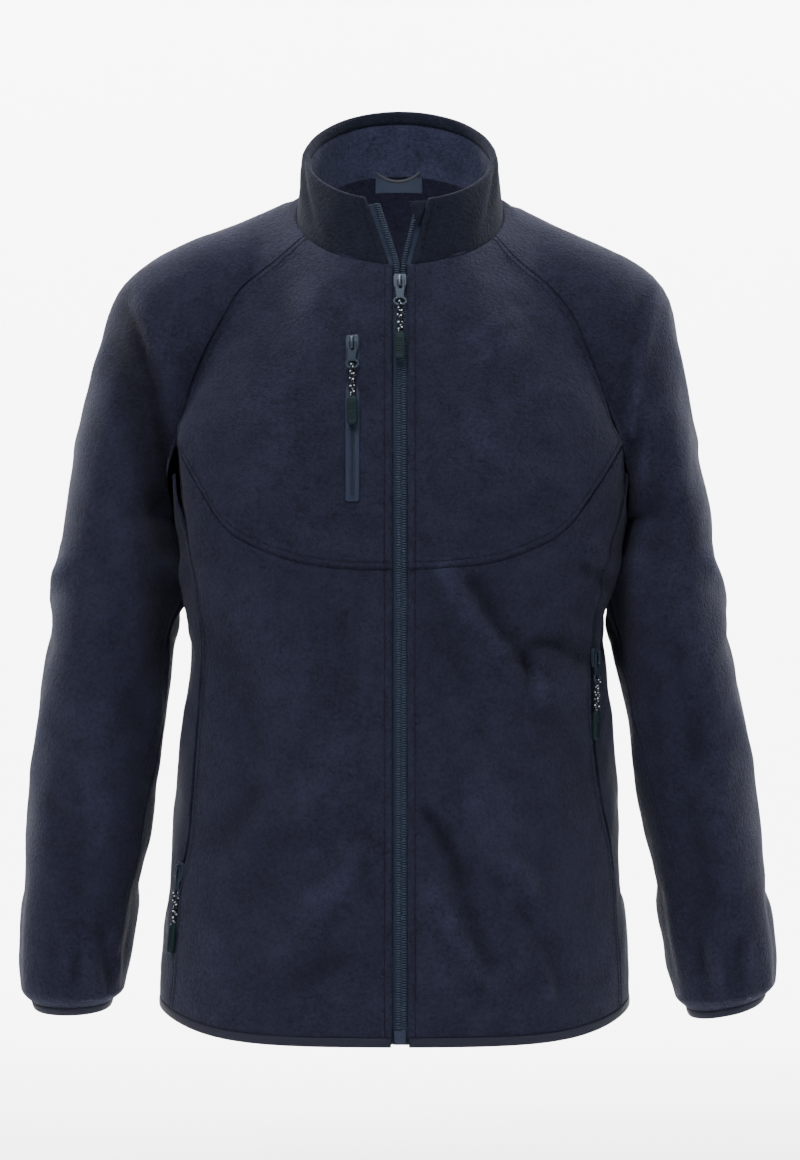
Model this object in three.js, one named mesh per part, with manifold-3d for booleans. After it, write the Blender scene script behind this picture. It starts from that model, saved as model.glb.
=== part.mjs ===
// Fleece zip jacket, filled out as if worn, with open neck, hem and cuffs.
// Millimetres. +X is the wearer's left, the front faces -Y, +Z is up.
// The origin is the middle of the neck opening, where a neck would hold the jacket up.
import * as THREE from 'three';
import { mergeVertices } from 'three/addons/utils/BufferGeometryUtils.js';
import Module from 'manifold-3d';

const wasm = await Module();
wasm.setup();

// Driving sizes.
const WALL = 2.4;               // thickness of one layer of fleece
const SEAM_GAP = 0.3;           // space between two pieces at a seam
const ZIP_HALF = 6.2;           // from the middle of the front zip to the cloth's edge
const ZIP_TOP = -65;            // height of the main slider's top, where the V opens
const BAND_HIGH = 6;            // height of the hem binding
const CUFF_BAND = 5;            // height of a cuff binding
const HEM_BACK = -664;          // height of the hem at the back
const HEM_FRONT = -682;         // height of the hem at the front
const HEM_SIDE = -661;          // height of the hem at the sides
const SLEEVE_ROUND = 2.1;       // squareness of the sleeves' sections
const UNDERARM = -250;          // height where body and sleeve part
const TAPE_THICK = 1.0;         // zip tape
const INNER_EDGE = 0.6;         // how far a cloth edge slants back towards its inner face
const BEHIND = 0.7;             // space between a panel's inner face and the tape behind it

// Horizontal sections of the body: half widths to each side, depths to front and back, and
// how square the section is (2 is an ellipse).
const BODY = [
  { z: 60, right: 40, left: 40, front: 4, back: 50, square: 2 },
  { z: 38, right: 54, left: 54, front: 18, back: 68, square: 2 },
  { z: 20, right: 74, left: 74, front: 38, back: 80, square: 2 },
  { z: 0, right: 92, left: 92, front: 58, back: 91, square: 2 },
  { z: -30, right: 108, left: 106, front: 79, back: 102, square: 2.1 },
  { z: -57, right: 122, left: 118, front: 92, back: 109, square: 2.1 },
  { z: -100, right: 144, left: 140, front: 107, back: 116, square: 2.3 },
  { z: -150, right: 170, left: 168, front: 118, back: 120, square: 2.6 },
  { z: -200, right: 187, left: 187, front: 126, back: 120, square: 3 },
  { z: -240, right: 187.5, left: 187.5, front: 129, back: 117, square: 3 },
  { z: -280, right: 182, left: 182, front: 130, back: 113, square: 2.9 },
  { z: -311, right: 178.5, left: 176, front: 130, back: 109, square: 2.8 },
  { z: -344, right: 176.8, left: 169, front: 130, back: 106, square: 2.6 },
  { z: -377, right: 174.5, left: 171, front: 130, back: 105, square: 2.5 },
  { z: -410, right: 176.8, left: 173.5, front: 131, back: 105, square: 2.5 },
  { z: -477, right: 182.6, left: 177.6, front: 132, back: 108, square: 2.4 },
  { z: -543, right: 189, left: 181, front: 134, back: 113, square: 2.4 },
  { z: -610, right: 195.9, left: 188, front: 136, back: 119, square: 2.4 },
  { z: -643, right: 199, left: 190, front: 136, back: 121, square: 2.4 },
  { z: -690, right: 198, left: 189, front: 134, back: 120, square: 2.4 },
];

// Sections across each sleeve: middle of the section, half width seen from the front,
// half depth, and how far the middle lies behind the body's own middle.
const SLEEVE_ROWS = {
  right: [
    { x: -20, z: -19, half: 42, deep: 46, mid: 4 },
    { x: -62, z: -35, half: 46, deep: 52, mid: 6 },
    { x: -108, z: -58, half: 50, deep: 60, mid: 8 },
    { x: -147, z: -82, half: 60.5, deep: 67, mid: 8 },
    { x: -178, z: -108, half: 67, deep: 70, mid: 7 },
    { x: -196, z: -137, half: 56.4, deep: 70, mid: 6 },
    { x: -208, z: -172, half: 51.8, deep: 69, mid: 5 },
    { x: -220.6, z: -215, half: 51.4, deep: 68, mid: 5 },
    { x: -233.4, z: -252, half: 43.6, deep: 68, mid: 4 },
    { x: -233, z: -282, half: 49.5, deep: 68, mid: 3 },
    { x: -233.2, z: -311, half: 53.2, deep: 68, mid: 2 },
    { x: -236, z: -344, half: 52.5, deep: 66, mid: 1 },
    { x: -245.7, z: -410, half: 53, deep: 62, mid: 0 },
    { x: -254.1, z: -477, half: 50.6, deep: 58, mid: 1 },
    { x: -261.9, z: -543, half: 49.4, deep: 54, mid: 2 },
    { x: -269.6, z: -610, half: 46.8, deep: 49, mid: 4 },
    { x: -272, z: -643, half: 44, deep: 44, mid: 5 },
    { x: -272, z: -668, half: 39, deep: 39, mid: 6 },
  ],
  left: [
    { x: 18, z: -19, half: 42, deep: 46, mid: 4 },
    { x: 54, z: -35, half: 46, deep: 52, mid: 6 },
    { x: 97, z: -57, half: 50, deep: 60, mid: 8 },
    { x: 133, z: -82, half: 60, deep: 67, mid: 8 },
    { x: 165, z: -108, half: 66, deep: 70, mid: 7 },
    { x: 181, z: -137, half: 53.6, deep: 70, mid: 7 },
    { x: 190, z: -172, half: 49.4, deep: 69, mid: 7 },
    { x: 204, z: -215, half: 46.4, deep: 68, mid: 7 },
    { x: 224.2, z: -252, half: 33.6, deep: 68, mid: 6 },
    { x: 223.2, z: -282, half: 38, deep: 68, mid: 4 },
    { x: 221.2, z: -311, half: 44.2, deep: 69, mid: 2 },
    { x: 222, z: -344, half: 49.4, deep: 68, mid: 1 },
    { x: 233.6, z: -410, half: 47.7, deep: 64, mid: 0 },
    { x: 244, z: -477, half: 47.3, deep: 58, mid: 1 },
    { x: 254.4, z: -543, half: 46.1, deep: 54, mid: 2 },
    { x: 265.8, z: -610, half: 46, deep: 49, mid: 4 },
    { x: 270.3, z: -643, half: 43.2, deep: 44, mid: 5 },
    { x: 271.5, z: -668, half: 38.5, deep: 39, mid: 6 },
  ],
};

// Raglan seams from the collar to the underarm, and the side seams from there to the hem.
const RAGLAN_FRONT = {
  right: [
    { x: -78, z: -25 }, { x: -104, z: -50 }, { x: -128, z: -70 }, { x: -143, z: -95 },
    { x: -163.4, z: -134 }, { x: -178, z: -176.6 }, { x: -183, z: -201 }, { x: -185, z: -224 },
  ],
  left: [
    { x: 78, z: -25 }, { x: 98, z: -50 }, { x: 121, z: -70 }, { x: 138.6, z: -92 },
    { x: 157, z: -134 }, { x: 172, z: -176.6 }, { x: 181, z: -201 }, { x: 185, z: -224 },
  ],
};
const RAGLAN_BACK = [
  { x: 47, z: 32 }, { x: 78, z: 5 }, { x: 106, z: -40 }, { x: 132, z: -90 },
  { x: 153, z: -140 }, { x: 171, z: -190 }, { x: 184, z: -224 },
];
const SIDE_FRONT = {
  right: [
    { x: -184, z: -228 }, { x: -171, z: -290 }, { x: -162, z: -366 }, { x: -164.3, z: -418 },
    { x: -168.4, z: -479 }, { x: -172, z: -519 }, { x: -178, z: -553 }, { x: -190, z: -690 },
  ],
  left: [
    { x: 184, z: -228 }, { x: 170, z: -290 }, { x: 158, z: -360 }, { x: 157, z: -434 },
    { x: 164, z: -488 }, { x: 170, z: -519 }, { x: 175, z: -559 }, { x: 182, z: -690 },
  ],
};
const SIDE_BACK = [
  { x: 184, z: -228 }, { x: 170, z: -290 }, { x: 161, z: -366 }, { x: 166, z: -479 },
  { x: 172, z: -553 }, { x: 182, z: -690 },
];
// The chest seam runs as a U from one raglan seam to the other.
const CHEST_SEAM = [
  { x: -183, z: -201 }, { x: -158, z: -243 }, { x: -140, z: -269 }, { x: -112.5, z: -286 },
  { x: -79.6, z: -297 }, { x: -45.4, z: -302 }, { x: -6, z: -303 }, { x: 6, z: -303 },
  { x: 39, z: -301 }, { x: 74, z: -297 }, { x: 109, z: -285 }, { x: 133, z: -270 },
  { x: 156, z: -240 }, { x: 181, z: -201 },
];
const RAGLAN_STEPS = 15;        // rows of a sleeve above the underarm
const CHEST_STEP = 10;          // the chest seam meets the raglan seam at this row
const SIDE_STEP = 12;           // the side panel starts at this row
const CHEST_MEETS = -201;       // height where the chest seam meets the raglan seam
const SIDE_MEETS = -224;        // height where the side panel's corner lies
const ARMPIT_AT = { right: 7.9, left: 7.97 };   // the underarm point, in rows of the sleeve

// Soft folds: a ridge is high, a trough is below zero. Each runs from (x0, z0) to (x1, z1).
const FRONT_FOLDS = [
  { name: 'right arm crease', x0: -236, z0: -92, x1: -211, z1: -146, wide: 10, high: -5 },
  { name: 'right arm crease, low', x0: -211, z0: -146, x1: -190, z1: -200, wide: 10, high: -6 },
  { name: 'left arm ridge', x0: 200, z0: -68, x1: 201, z1: -106, wide: 11, high: 5 },
  { name: 'left arm ridge, low', x0: 201, z0: -106, x1: 190, z1: -180, wide: 12, high: 6 },
  { name: 'waist ridge', x0: 42, z0: -315, x1: 106, z1: -390, wide: 17, high: 5 },
  { name: 'waist hollow', x0: 66, z0: -300, x1: 140, z1: -345, wide: 18, high: -6 },
  { name: 'hip hollow', x0: 22, z0: -515, x1: 46, z1: -560, wide: 16, high: -6 },
  { name: 'hip ridge', x0: 46, z0: -512, x1: 106, z1: -604, wide: 17, high: 5 },
  { name: 'right hip hollow', x0: -140, z0: -500, x1: -118, z1: -540, wide: 18, high: -4 },
  { name: 'right hip ridge', x0: -82, z0: -500, x1: -58, z1: -585, wide: 22, high: 4 },
  { name: 'left arm fold', x0: 205, z0: -196, x1: 206, z1: -290, wide: 12, high: 4 },
];
const BACK_FOLDS = [
  { name: 'back hollow', x0: 60, z0: -300, x1: 120, z1: -360, wide: 20, high: -5 },
  { name: 'back ridge', x0: -110, z0: -360, x1: -30, z1: -300, wide: 20, high: 5 },
  { name: 'back hip ridge', x0: 30, z0: -500, x1: 90, z1: -590, wide: 20, high: 5 },
  { name: 'back hip hollow', x0: -100, z0: -590, x1: -40, z1: -500, wide: 20, high: -5 },
  { name: 'right back crease', x0: -226, z0: -100, x1: -192, z1: -200, wide: 12, high: -5 },
  { name: 'left back crease', x0: 218, z0: -100, x1: 190, z1: -200, wide: 12, high: -5 },
];

// Small helpers.
const V = (x, y, z) => new THREE.Vector3(x, y, z);
const mix = (a, b, t) => a + (b - a) * t;
const clamp = THREE.MathUtils.clamp;
const evenly = (steps) => Array.from({ length: steps + 1 }, (_, i) => i / steps);

// A smooth curve through a table's column, read at the place "at" of another column.
function column(table, key, name, at) {
  const down = table[0][key] > table[table.length - 1][key] ? -1 : 1;
  let i = table.findIndex((row) => row[key] * down > at * down) - 1;
  if (i === -2) i = table.length - 2;
  i = clamp(i, 0, table.length - 2);
  const slope = (j) => {
    const a = table[Math.max(j - 1, 0)], b = table[Math.min(j + 1, table.length - 1)];
    return (b[name] - a[name]) / (b[key] - a[key]);
  };
  const p = table[i], q = table[i + 1], h = q[key] - p[key];
  const t = clamp((at - p[key]) / h, 0, 1), t2 = t * t, t3 = t2 * t;
  return (2 * t3 - 3 * t2 + 1) * p[name] + (t3 - 2 * t2 + t) * h * slope(i)
    + (3 * t2 - 2 * t3) * q[name] + (t3 - t2) * h * slope(i + 1);
}

// Keeps the sign of a power, so that a section goes on smoothly past its own edge.
const signedPower = (v, p) => Math.sign(v) * Math.abs(v) ** p;
const bulge = (e, n) => signedPower(1 - Math.abs(e) ** n, 1 / n);

// The larger of two heights, rounded over where they are nearly the same.
function softMax(a, b, k) {
  const h = Math.max(k - Math.abs(a - b), 0);
  return Math.max(a, b) + h * h / (4 * k);
}

function foldHeight(folds, x, z) {
  let sum = 0;
  for (const f of folds) {
    const dx = f.x1 - f.x0, dz = f.z1 - f.z0;
    const t = clamp(((x - f.x0) * dx + (z - f.z0) * dz) / (dx * dx + dz * dz), 0, 1);
    const off = Math.hypot(x - f.x0 - t * dx, z - f.z0 - t * dz) / f.wide;
    sum += f.high * Math.exp(-off * off);
  }
  return sum;
}

// The garment's form.
// A sleeve's middle line, sampled finely, with the direction that points outwards.
function sleeveLine(side) {
  const sign = side === 'left' ? 1 : -1;
  const rows = SLEEVE_ROWS[side].map((row, at) => ({ ...row, at }));
  const line = [];
  const fine = 8;
  for (let i = 0; i <= (rows.length - 1) * fine; i += 1) {
    const at = i / fine;
    const get = (name) => column(rows, 'at', name, at);
    line.push({ at, x: get('x'), z: get('z'), half: get('half'), deep: get('deep'), mid: get('mid') });
  }
  line.forEach((p, i) => {
    const a = line[Math.max(i - 1, 0)], b = line[Math.min(i + 1, line.length - 1)];
    const long = Math.hypot(b.x - a.x, b.z - a.z);
    p.nx = -sign * (b.z - a.z) / long;
    p.nz = sign * (b.x - a.x) / long;
  });
  return line;
}
const SLEEVE_LINES = { right: sleeveLine('right'), left: sleeveLine('left') };

// The section of a sleeve at a place along its middle line.
function sleeveAt(side, at) {
  const line = SLEEVE_LINES[side], fine = 8;
  const f = clamp(at * fine, 0, line.length - 1.001), i = Math.floor(f), t = f - i;
  const out = {};
  for (const name of ['x', 'z', 'half', 'deep', 'mid', 'nx', 'nz']) {
    out[name] = mix(line[i][name], line[i + 1][name], t);
  }
  return out;
}

// Where a point of the front view lies on a sleeve: along it, and out from its middle line.
function onSleeve(side, x, z) {
  const line = SLEEVE_LINES[side];
  let best = { gap: Infinity };
  for (let i = 0; i < line.length - 1; i += 1) {
    const a = line[i], b = line[i + 1];
    const dx = b.x - a.x, dz = b.z - a.z;
    const t = clamp(((x - a.x) * dx + (z - a.z) * dz) / (dx * dx + dz * dz), 0, 1);
    const gap = Math.hypot(x - a.x - t * dx, z - a.z - t * dz);
    if (gap < best.gap) best = { gap, at: mix(a.at, b.at, t) };
  }
  const s = sleeveAt(side, best.at);
  const out = (x - s.x) * s.nx + (z - s.z) * s.nz;
  return { ...s, at: best.at, share: Math.sign(out) * best.gap / s.half };
}

// Depth of the body alone, in front of (or behind) its middle plane.
function bodyDepth(x, z, front) {
  const half = column(BODY, 'z', x < 0 ? 'right' : 'left', z);
  return column(BODY, 'z', front ? 'front' : 'back', z) * bulge(x / half, column(BODY, 'z', 'square', z));
}
function sleeveDepth(x, z, front) {
  const s = onSleeve(x < 0 ? 'right' : 'left', x, z);
  return s.deep * bulge(s.share, SLEEVE_ROUND) + (front ? -s.mid : s.mid);
}
// How softly body and sleeve run into each other: wide on the shoulder, tight under the arm.
const blendAt = (z) => mix(4, 38, THREE.MathUtils.smoothstep(z, -235, -70));

// Depth of body and sleeve together. Below the underarm the sleeve no longer counts.
function shellDepth(x, z, front) {
  const body = bodyDepth(x, z, front);
  const past = Math.max(UNDERARM + 20 - z, 0) * 5;
  const both = z > UNDERARM - 20 ? softMax(body, sleeveDepth(x, z, front) - past, blendAt(z)) : body;
  return both + foldHeight(front ? FRONT_FOLDS : BACK_FOLDS, x, z);
}
const frontY = (x, z) => -shellDepth(x, z, true);
const backY = (x, z) => shellDepth(x, z, false);

// A point of a sleeve: turn 0 is its outer edge, a quarter turn is the front.
function sleevePoint(side, at, turn) {
  const s = sleeveAt(side, at);
  const across = s.half * signedPower(Math.cos(turn), 2 / SLEEVE_ROUND);
  const x = s.x + s.nx * across, z = s.z + s.nz * across;
  const front = Math.sin(turn) > 0;
  const own = s.deep * Math.abs(Math.sin(turn)) ** (2 / SLEEVE_ROUND) + (front ? -s.mid : s.mid);
  let depth = own;
  if (z > UNDERARM - 20) {
    const past = Math.max(UNDERARM + 20 - z, 0) * 5;
    const both = softMax(own, bodyDepth(x, z, front) - past, blendAt(z));
    depth = mix(own, both, Math.sqrt(Math.abs(Math.sin(turn))));
  }
  depth += foldHeight(front ? FRONT_FOLDS : BACK_FOLDS, x, z) * Math.abs(Math.sin(turn));
  return V(x, front ? -depth : depth, z);
}

// Neck, hem and seams.
const NECK = { half: 85.5, midY: -12, deep: 80, frontZ: -57, lean: 0.594 };
const RIM = { half: 80, midY: -11.5, deep: 74, frontZ: -4, lean: 0.608 };
// A ring of the collar: turn 0 is the middle of the back, half a turn is the front.
function ringPoint(ring, turn) {
  const y = ring.midY + ring.deep * Math.cos(turn);
  return V(ring.half * Math.sin(turn), y, ring.frontZ + ring.lean * (y - ring.midY + ring.deep));
}
const turnOf = (ring, x, back) => (back ? Math.asin(x / ring.half)
  : Math.sign(x) * (Math.PI - Math.asin(Math.abs(x) / ring.half)));

function hemZ(x, front) {
  const half = column(BODY, 'z', x < 0 ? 'right' : 'left', -660);
  return mix(front ? HEM_FRONT : HEM_BACK, HEM_SIDE, Math.min(Math.abs(x / half), 1) ** 5.5);
}

// The raglan seam of one side as rows, in the sleeve's own measure (along it, and turn).
function raglanRows(side, front) {
  const table = (front ? RAGLAN_FRONT[side] : RAGLAN_BACK.map((p) => ({
    x: side === 'left' ? p.x : -p.x, z: p.z })));
  const rows = [];
  for (let i = 0; i <= SIDE_STEP; i += 1) {
    const z = i <= CHEST_STEP ? mix(table[0].z, CHEST_MEETS, i / CHEST_STEP)
      : mix(CHEST_MEETS, SIDE_MEETS, (i - CHEST_STEP) / (SIDE_STEP - CHEST_STEP));
    const s = onSleeve(side, column(table, 'z', 'x', z), z);
    rows.push({ at: s.at, turn: Math.acos(signedPower(clamp(s.share, -1, 1), SLEEVE_ROUND / 2)) });
  }
  // From the side panel's corner the seam runs under the arm.
  const last = rows[SIDE_STEP];
  for (let i = SIDE_STEP + 1; i <= RAGLAN_STEPS; i += 1) {
    const t = (i - SIDE_STEP) / (RAGLAN_STEPS - SIDE_STEP);
    rows.push({ at: mix(last.at, ARMPIT_AT[side], t ** 0.8), turn: mix(last.turn, Math.PI, t) });
  }
  return rows.map(({ at, turn }) => ({ at, turn: front ? turn : -turn }));
}

const CUFF_AT = 16.66;          // where the sleeve's cloth ends, in rows of its table
const CUFF_DIP = 5;             // the cuff hangs lower at the front
const CUFF_TILT = { right: 0, left: 6 };         // and higher at its outer edge
const SLEEVE_STEPS = 12;        // rows of a sleeve below the underarm
const ROUND_STEPS = 18;         // steps round a sleeve
const SEAM_TWIST = { right: 2.3, left: 1.62 };   // turn of the sleeve seam at the cuff

// All the outer points of a sleeve, row by row from the collar to the cuff.
function sleeveGrid(side) {
  const front = raglanRows(side, true), back = raglanRows(side, false);
  const sign = side === 'left' ? 1 : -1;
  const grid = [];
  for (let i = 0; i <= RAGLAN_STEPS; i += 1) {
    grid.push(evenly(ROUND_STEPS).map((w) => sleevePoint(side,
      mix(front[i].at, back[i].at, w), mix(front[i].turn, back[i].turn, w))));
  }
  // Each row's ends are drawn to the raglan seams, where the body's form meets the sleeve's.
  const seamAt = (table, flip, depthAt, i) => {
    const z = i <= CHEST_STEP ? mix(table[0].z, CHEST_MEETS, i / CHEST_STEP)
      : mix(CHEST_MEETS, SIDE_MEETS, (i - CHEST_STEP) / (SIDE_STEP - CHEST_STEP));
    const x = flip * column(table, 'z', 'x', z);
    return V(x, depthAt(x, z), z);
  };
  for (let i = 0; i <= SIDE_STEP; i += 1) {
    const a = seamAt(RAGLAN_FRONT[side], 1, frontY, i).sub(grid[i][0]);
    const b = seamAt(RAGLAN_BACK, sign, backY, i).sub(grid[i][ROUND_STEPS]);
    grid[i].forEach((p, j) => {
      const w = j / ROUND_STEPS;
      p.addScaledVector(a, (1 - w) ** 4).addScaledVector(b, w ** 4);
    });
  }
  // The first rows bend to the neck's ring, from the front raglan seam to the back one.
  const from = turnOf(NECK, sign * RAGLAN_BACK[0].x, true);
  const to = turnOf(NECK, RAGLAN_FRONT[side][0].x, false);
  const ring = evenly(ROUND_STEPS).map((w) => ringPoint(NECK, mix(to, from, w)));
  const miss = ring.map((p, j) => p.clone().sub(grid[0][j]));
  for (let i = 0; i < 5; i += 1) {
    grid[i].forEach((p, j) => p.addScaledVector(miss[j], (1 - i / 5) ** 2));
  }
  const start = front[RAGLAN_STEPS].at;
  for (let i = 1; i <= SLEEVE_STEPS; i += 1) {
    const t = i / SLEEVE_STEPS;
    const seam = mix(Math.PI, SEAM_TWIST[side], t ** 1.5);
    grid.push(evenly(ROUND_STEPS).map((w) => {
      const turn = seam - w * 2 * Math.PI;
      const p = sleevePoint(side, mix(start, CUFF_AT, t), turn);
      p.z += t ** 8 * (CUFF_TILT[side] * Math.cos(turn) - CUFF_DIP * Math.max(Math.sin(turn), 0));
      return p;
    }));
  }
  return grid;
}
const SLEEVES = { right: sleeveGrid('right'), left: sleeveGrid('left') };

const group = new THREE.Group();
group.name = 'fleece_zip_jacket';
const FRONT = V(0, -1, 0), BACK = V(0, 1, 0);
const PANELS = {};

// Solids from grids.
function outwardNormals(grid, towards) {
  const rows = grid.length, cols = grid[0].length;
  const normals = grid.map((row, j) => row.map((p, i) => {
    const a = grid[j][Math.min(i + 1, cols - 1)].clone().sub(grid[j][Math.max(i - 1, 0)]);
    const b = grid[Math.min(j + 1, rows - 1)][i].clone().sub(grid[Math.max(j - 1, 0)][i]);
    return a.cross(b).normalize();
  }));
  const j = rows >> 1, i = cols >> 1;
  if (normals[j][i].dot(towards) < 0) normals.forEach((row) => row.forEach((n) => n.negate()));
  return normals;
}

// Moves the border of a grid inwards by a small step along the grid's own lines.
function drawnIn(grid, step) {
  const rows = grid.length, cols = grid[0].length;
  const out = grid.map((row) => row.map((p) => p.clone()));
  const pull = (p, q) => q.clone().sub(p).setLength(step);
  for (let j = 0; j < rows; j += 1) {
    out[j][0].add(pull(grid[j][0], grid[j][1]));
    out[j][cols - 1].add(pull(grid[j][cols - 1], grid[j][cols - 2]));
  }
  for (let i = 0; i < cols; i += 1) {
    out[0][i].add(pull(grid[0][i], grid[1][i]));
    out[rows - 1][i].add(pull(grid[rows - 1][i], grid[rows - 2][i]));
  }
  return out;
}

// A closed solid between two grids of the same size, the first one outside.
function between(outer, inner, ring = false) {
  const rows = outer.length, cols = outer[0].length;
  const points = [...outer.flat(), ...inner.flat()];
  const at = (layer, j, i) => layer * rows * cols + j * cols + (ring ? i % cols : i);
  const faces = [];
  const quad = (a, b, c, d) => faces.push(a, b, c, a, c, d);
  const across = ring ? cols : cols - 1;
  for (let j = 0; j < rows - 1; j += 1) {
    for (let i = 0; i < across; i += 1) {
      quad(at(0, j, i), at(0, j, i + 1), at(0, j + 1, i + 1), at(0, j + 1, i));
      quad(at(1, j, i), at(1, j + 1, i), at(1, j + 1, i + 1), at(1, j, i + 1));
    }
  }
  for (let i = 0; i < across; i += 1) {
    quad(at(0, 0, i), at(1, 0, i), at(1, 0, i + 1), at(0, 0, i + 1));
    quad(at(0, rows - 1, i), at(0, rows - 1, i + 1), at(1, rows - 1, i + 1), at(1, rows - 1, i));
  }
  if (!ring) {
    for (let j = 0; j < rows - 1; j += 1) {
      quad(at(0, j, 0), at(0, j + 1, 0), at(1, j + 1, 0), at(1, j, 0));
      quad(at(0, j, cols - 1), at(1, j, cols - 1), at(1, j + 1, cols - 1), at(0, j + 1, cols - 1));
    }
  }
  return closedGeometry(points, faces);
}

// Faces are turned about where the volume comes out below zero, so that all point out.
function closedGeometry(points, faces) {
  let volume = 0;
  for (let i = 0; i < faces.length; i += 3) {
    const [a, b, c] = [points[faces[i]], points[faces[i + 1]], points[faces[i + 2]]];
    volume += a.dot(b.clone().cross(c));
  }
  if (volume < 0) faces.reverse();
  const geometry = new THREE.BufferGeometry();
  geometry.setAttribute('position', new THREE.Float32BufferAttribute(
    points.flatMap((p) => [p.x, p.y, p.z]), 3));
  geometry.setIndex(faces);
  geometry.computeVertexNormals();
  return geometry;
}

// A layer of cloth: outer points, drawn in for the seams, and the same moved inwards.
function clothWall(grid, towards, wall = WALL) {
  const normals = outwardNormals(grid, towards);
  const outer = drawnIn(grid, SEAM_GAP / 2 + 0.05);
  const inner = drawnIn(outer.map((row, j) => row.map((p, i) => (
    p.clone().addScaledVector(normals[j][i], -wall)))), INNER_EDGE);
  return between(outer, inner);
}

// A profile carried along a path: one row of points for each place, closed at both ends.
function carried(rows) {
  const count = rows[0].length;
  const points = rows.flat();
  const faces = [];
  for (let j = 0; j < rows.length - 1; j += 1) {
    for (let i = 0; i < count; i += 1) {
      const a = j * count + i, b = j * count + (i + 1) % count;
      faces.push(a, b, b + count, a, b + count, a + count);
    }
  }
  const profile = outlineOf(rows[0]);
  for (const [p, q, r] of THREE.ShapeUtils.triangulateShape(profile, [])) {
    faces.push(p, r, q);
    const last = (rows.length - 1) * count;
    faces.push(last + p, last + q, last + r);
  }
  return closedGeometry(points, orientCaps(points, faces, count, rows.length));
}
// A profile's points laid flat, so that its end can be filled.
function outlineOf(row) {
  const mid = row.reduce((s, p) => s.add(p), V(0, 0, 0)).divideScalar(row.length);
  const normal = V(0, 0, 0);
  row.forEach((p, i) => normal.add(p.clone().sub(mid).cross(row[(i + 1) % row.length].clone().sub(mid))));
  normal.normalize();
  const a = row[0].clone().sub(mid).projectOnPlane(normal).normalize();
  const b = normal.clone().cross(a);
  return row.map((p) => new THREE.Vector2(p.clone().sub(mid).dot(a), p.clone().sub(mid).dot(b)));
}
// Makes both end caps share their edges with the sides in the right order.
function orientCaps(points, faces, count, rows) {
  const sides = (rows - 1) * count * 6;
  const used = new Set();
  for (let i = 0; i < sides; i += 3) {
    for (let k = 0; k < 3; k += 1) used.add(`${faces[i + k]}>${faces[i + (k + 1) % 3]}`);
  }
  const caps = faces.slice(sides);
  const half = [];
  for (let i = 0; i < caps.length; i += 3) {
    const tri = caps.slice(i, i + 3);
    half.push({ tri, last: tri[0] >= count });
  }
  for (const last of [false, true]) {
    const group = half.filter((h) => h.last === last);
    const clash = group.some(({ tri }) => [0, 1, 2].some((k) => used.has(`${tri[k]}>${tri[(k + 1) % 3]}`)));
    if (clash) group.forEach((h) => h.tri.reverse());
  }
  return [...faces.slice(0, sides), ...half.flatMap((h) => h.tri)];
}

const clothColour = '#262a3c';
function mesh(name, geometry, colour = clothColour, roughness = 0.95, metalness = 0) {
  const m = new THREE.Mesh(geometry, new THREE.MeshStandardMaterial({ color: colour, roughness, metalness }));
  m.name = name;
  return m;
}

// Body panels.
// Fills a patch between four borders of 3-D points and lays it on the garment's form.
function patch(top, bottom, inner, outer, depthAt, weight = 4) {
  const cols = top.length - 1, rows = inner.length - 1;
  const lay = (x, z) => V(x, depthAt(x, z), z);
  const miss = (p) => p.y - depthAt(p.x, p.z);
  const near = (t) => (1 - t) ** weight;
  const grid = [];
  for (let j = 0; j <= rows; j += 1) {
    const v = j / rows, row = [];
    for (let i = 0; i <= cols; i += 1) {
      const u = i / cols;
      const c = (key) => mix(top[i][key], bottom[i][key], v) + mix(inner[j][key], outer[j][key], u)
        - mix(mix(top[0][key], top[cols][key], u), mix(bottom[0][key], bottom[cols][key], u), v);
      const p = lay(c('x'), c('z'));
      const a = near(v), b = near(1 - v), e = near(u), f = near(1 - u);
      p.y += a * miss(top[i]) + b * miss(bottom[i]) + e * miss(inner[j]) + f * miss(outer[j])
        - a * e * miss(top[0]) - a * f * miss(top[cols]) - b * e * miss(bottom[0]) - b * f * miss(bottom[cols]);
      if (j === 0) p.copy(top[i]);
      else if (j === rows) p.copy(bottom[i]);
      else if (i === 0) p.copy(inner[j]);
      else if (i === cols) p.copy(outer[j]);
      row.push(p);
    }
    grid.push(row);
  }
  return grid;
}

const CHEST_COLS = 9;           // steps from the zip to the raglan seam
const SKIRT_ROWS = 14;          // steps from the chest seam to the hem, along the zip
const POCKET = {                // the hand pockets' zips lie in the front side seams
  right: { top: -372, bottom: -556, open: 2.4 },
  left: { top: -366, bottom: -552, open: 2.4 },
};
const CLOTH_HEM = (x, front) => hemZ(x, front) + BAND_HIGH + SEAM_GAP;

// A side seam's points below the side panel's corner, one for each row down to the hem.
function sideSeam(side, front, rows) {
  const sign = side === 'left' ? 1 : -1;
  const table = front ? SIDE_FRONT[side] : SIDE_BACK.map((p) => ({ x: sign * p.x, z: p.z }));
  const end = CLOTH_HEM(column(table, 'z', 'x', -655), front);
  const start = SLEEVES[side][SIDE_STEP][front ? 0 : ROUND_STEPS];
  return evenly(rows).map((t, i) => {
    if (i === 0) return start.clone();
    const z = mix(start.z, end, t);
    const fade = Math.max(1 - t * 5, 0) ** 2;
    const x = column(table, 'z', 'x', z);
    const y = front ? frontY(x, z) : backY(x, z);
    return V(mix(x, start.x, fade), mix(y, start.y, fade), z);
  });
}
const SIDE_ROWS = SKIRT_ROWS - (SIDE_STEP - CHEST_STEP);
const SEAMS = {
  right: { front: sideSeam('right', true, SIDE_ROWS), back: sideSeam('right', false, SIDE_ROWS) },
  left: { front: sideSeam('left', true, SIDE_ROWS), back: sideSeam('left', false, SIDE_ROWS) },
};

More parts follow.
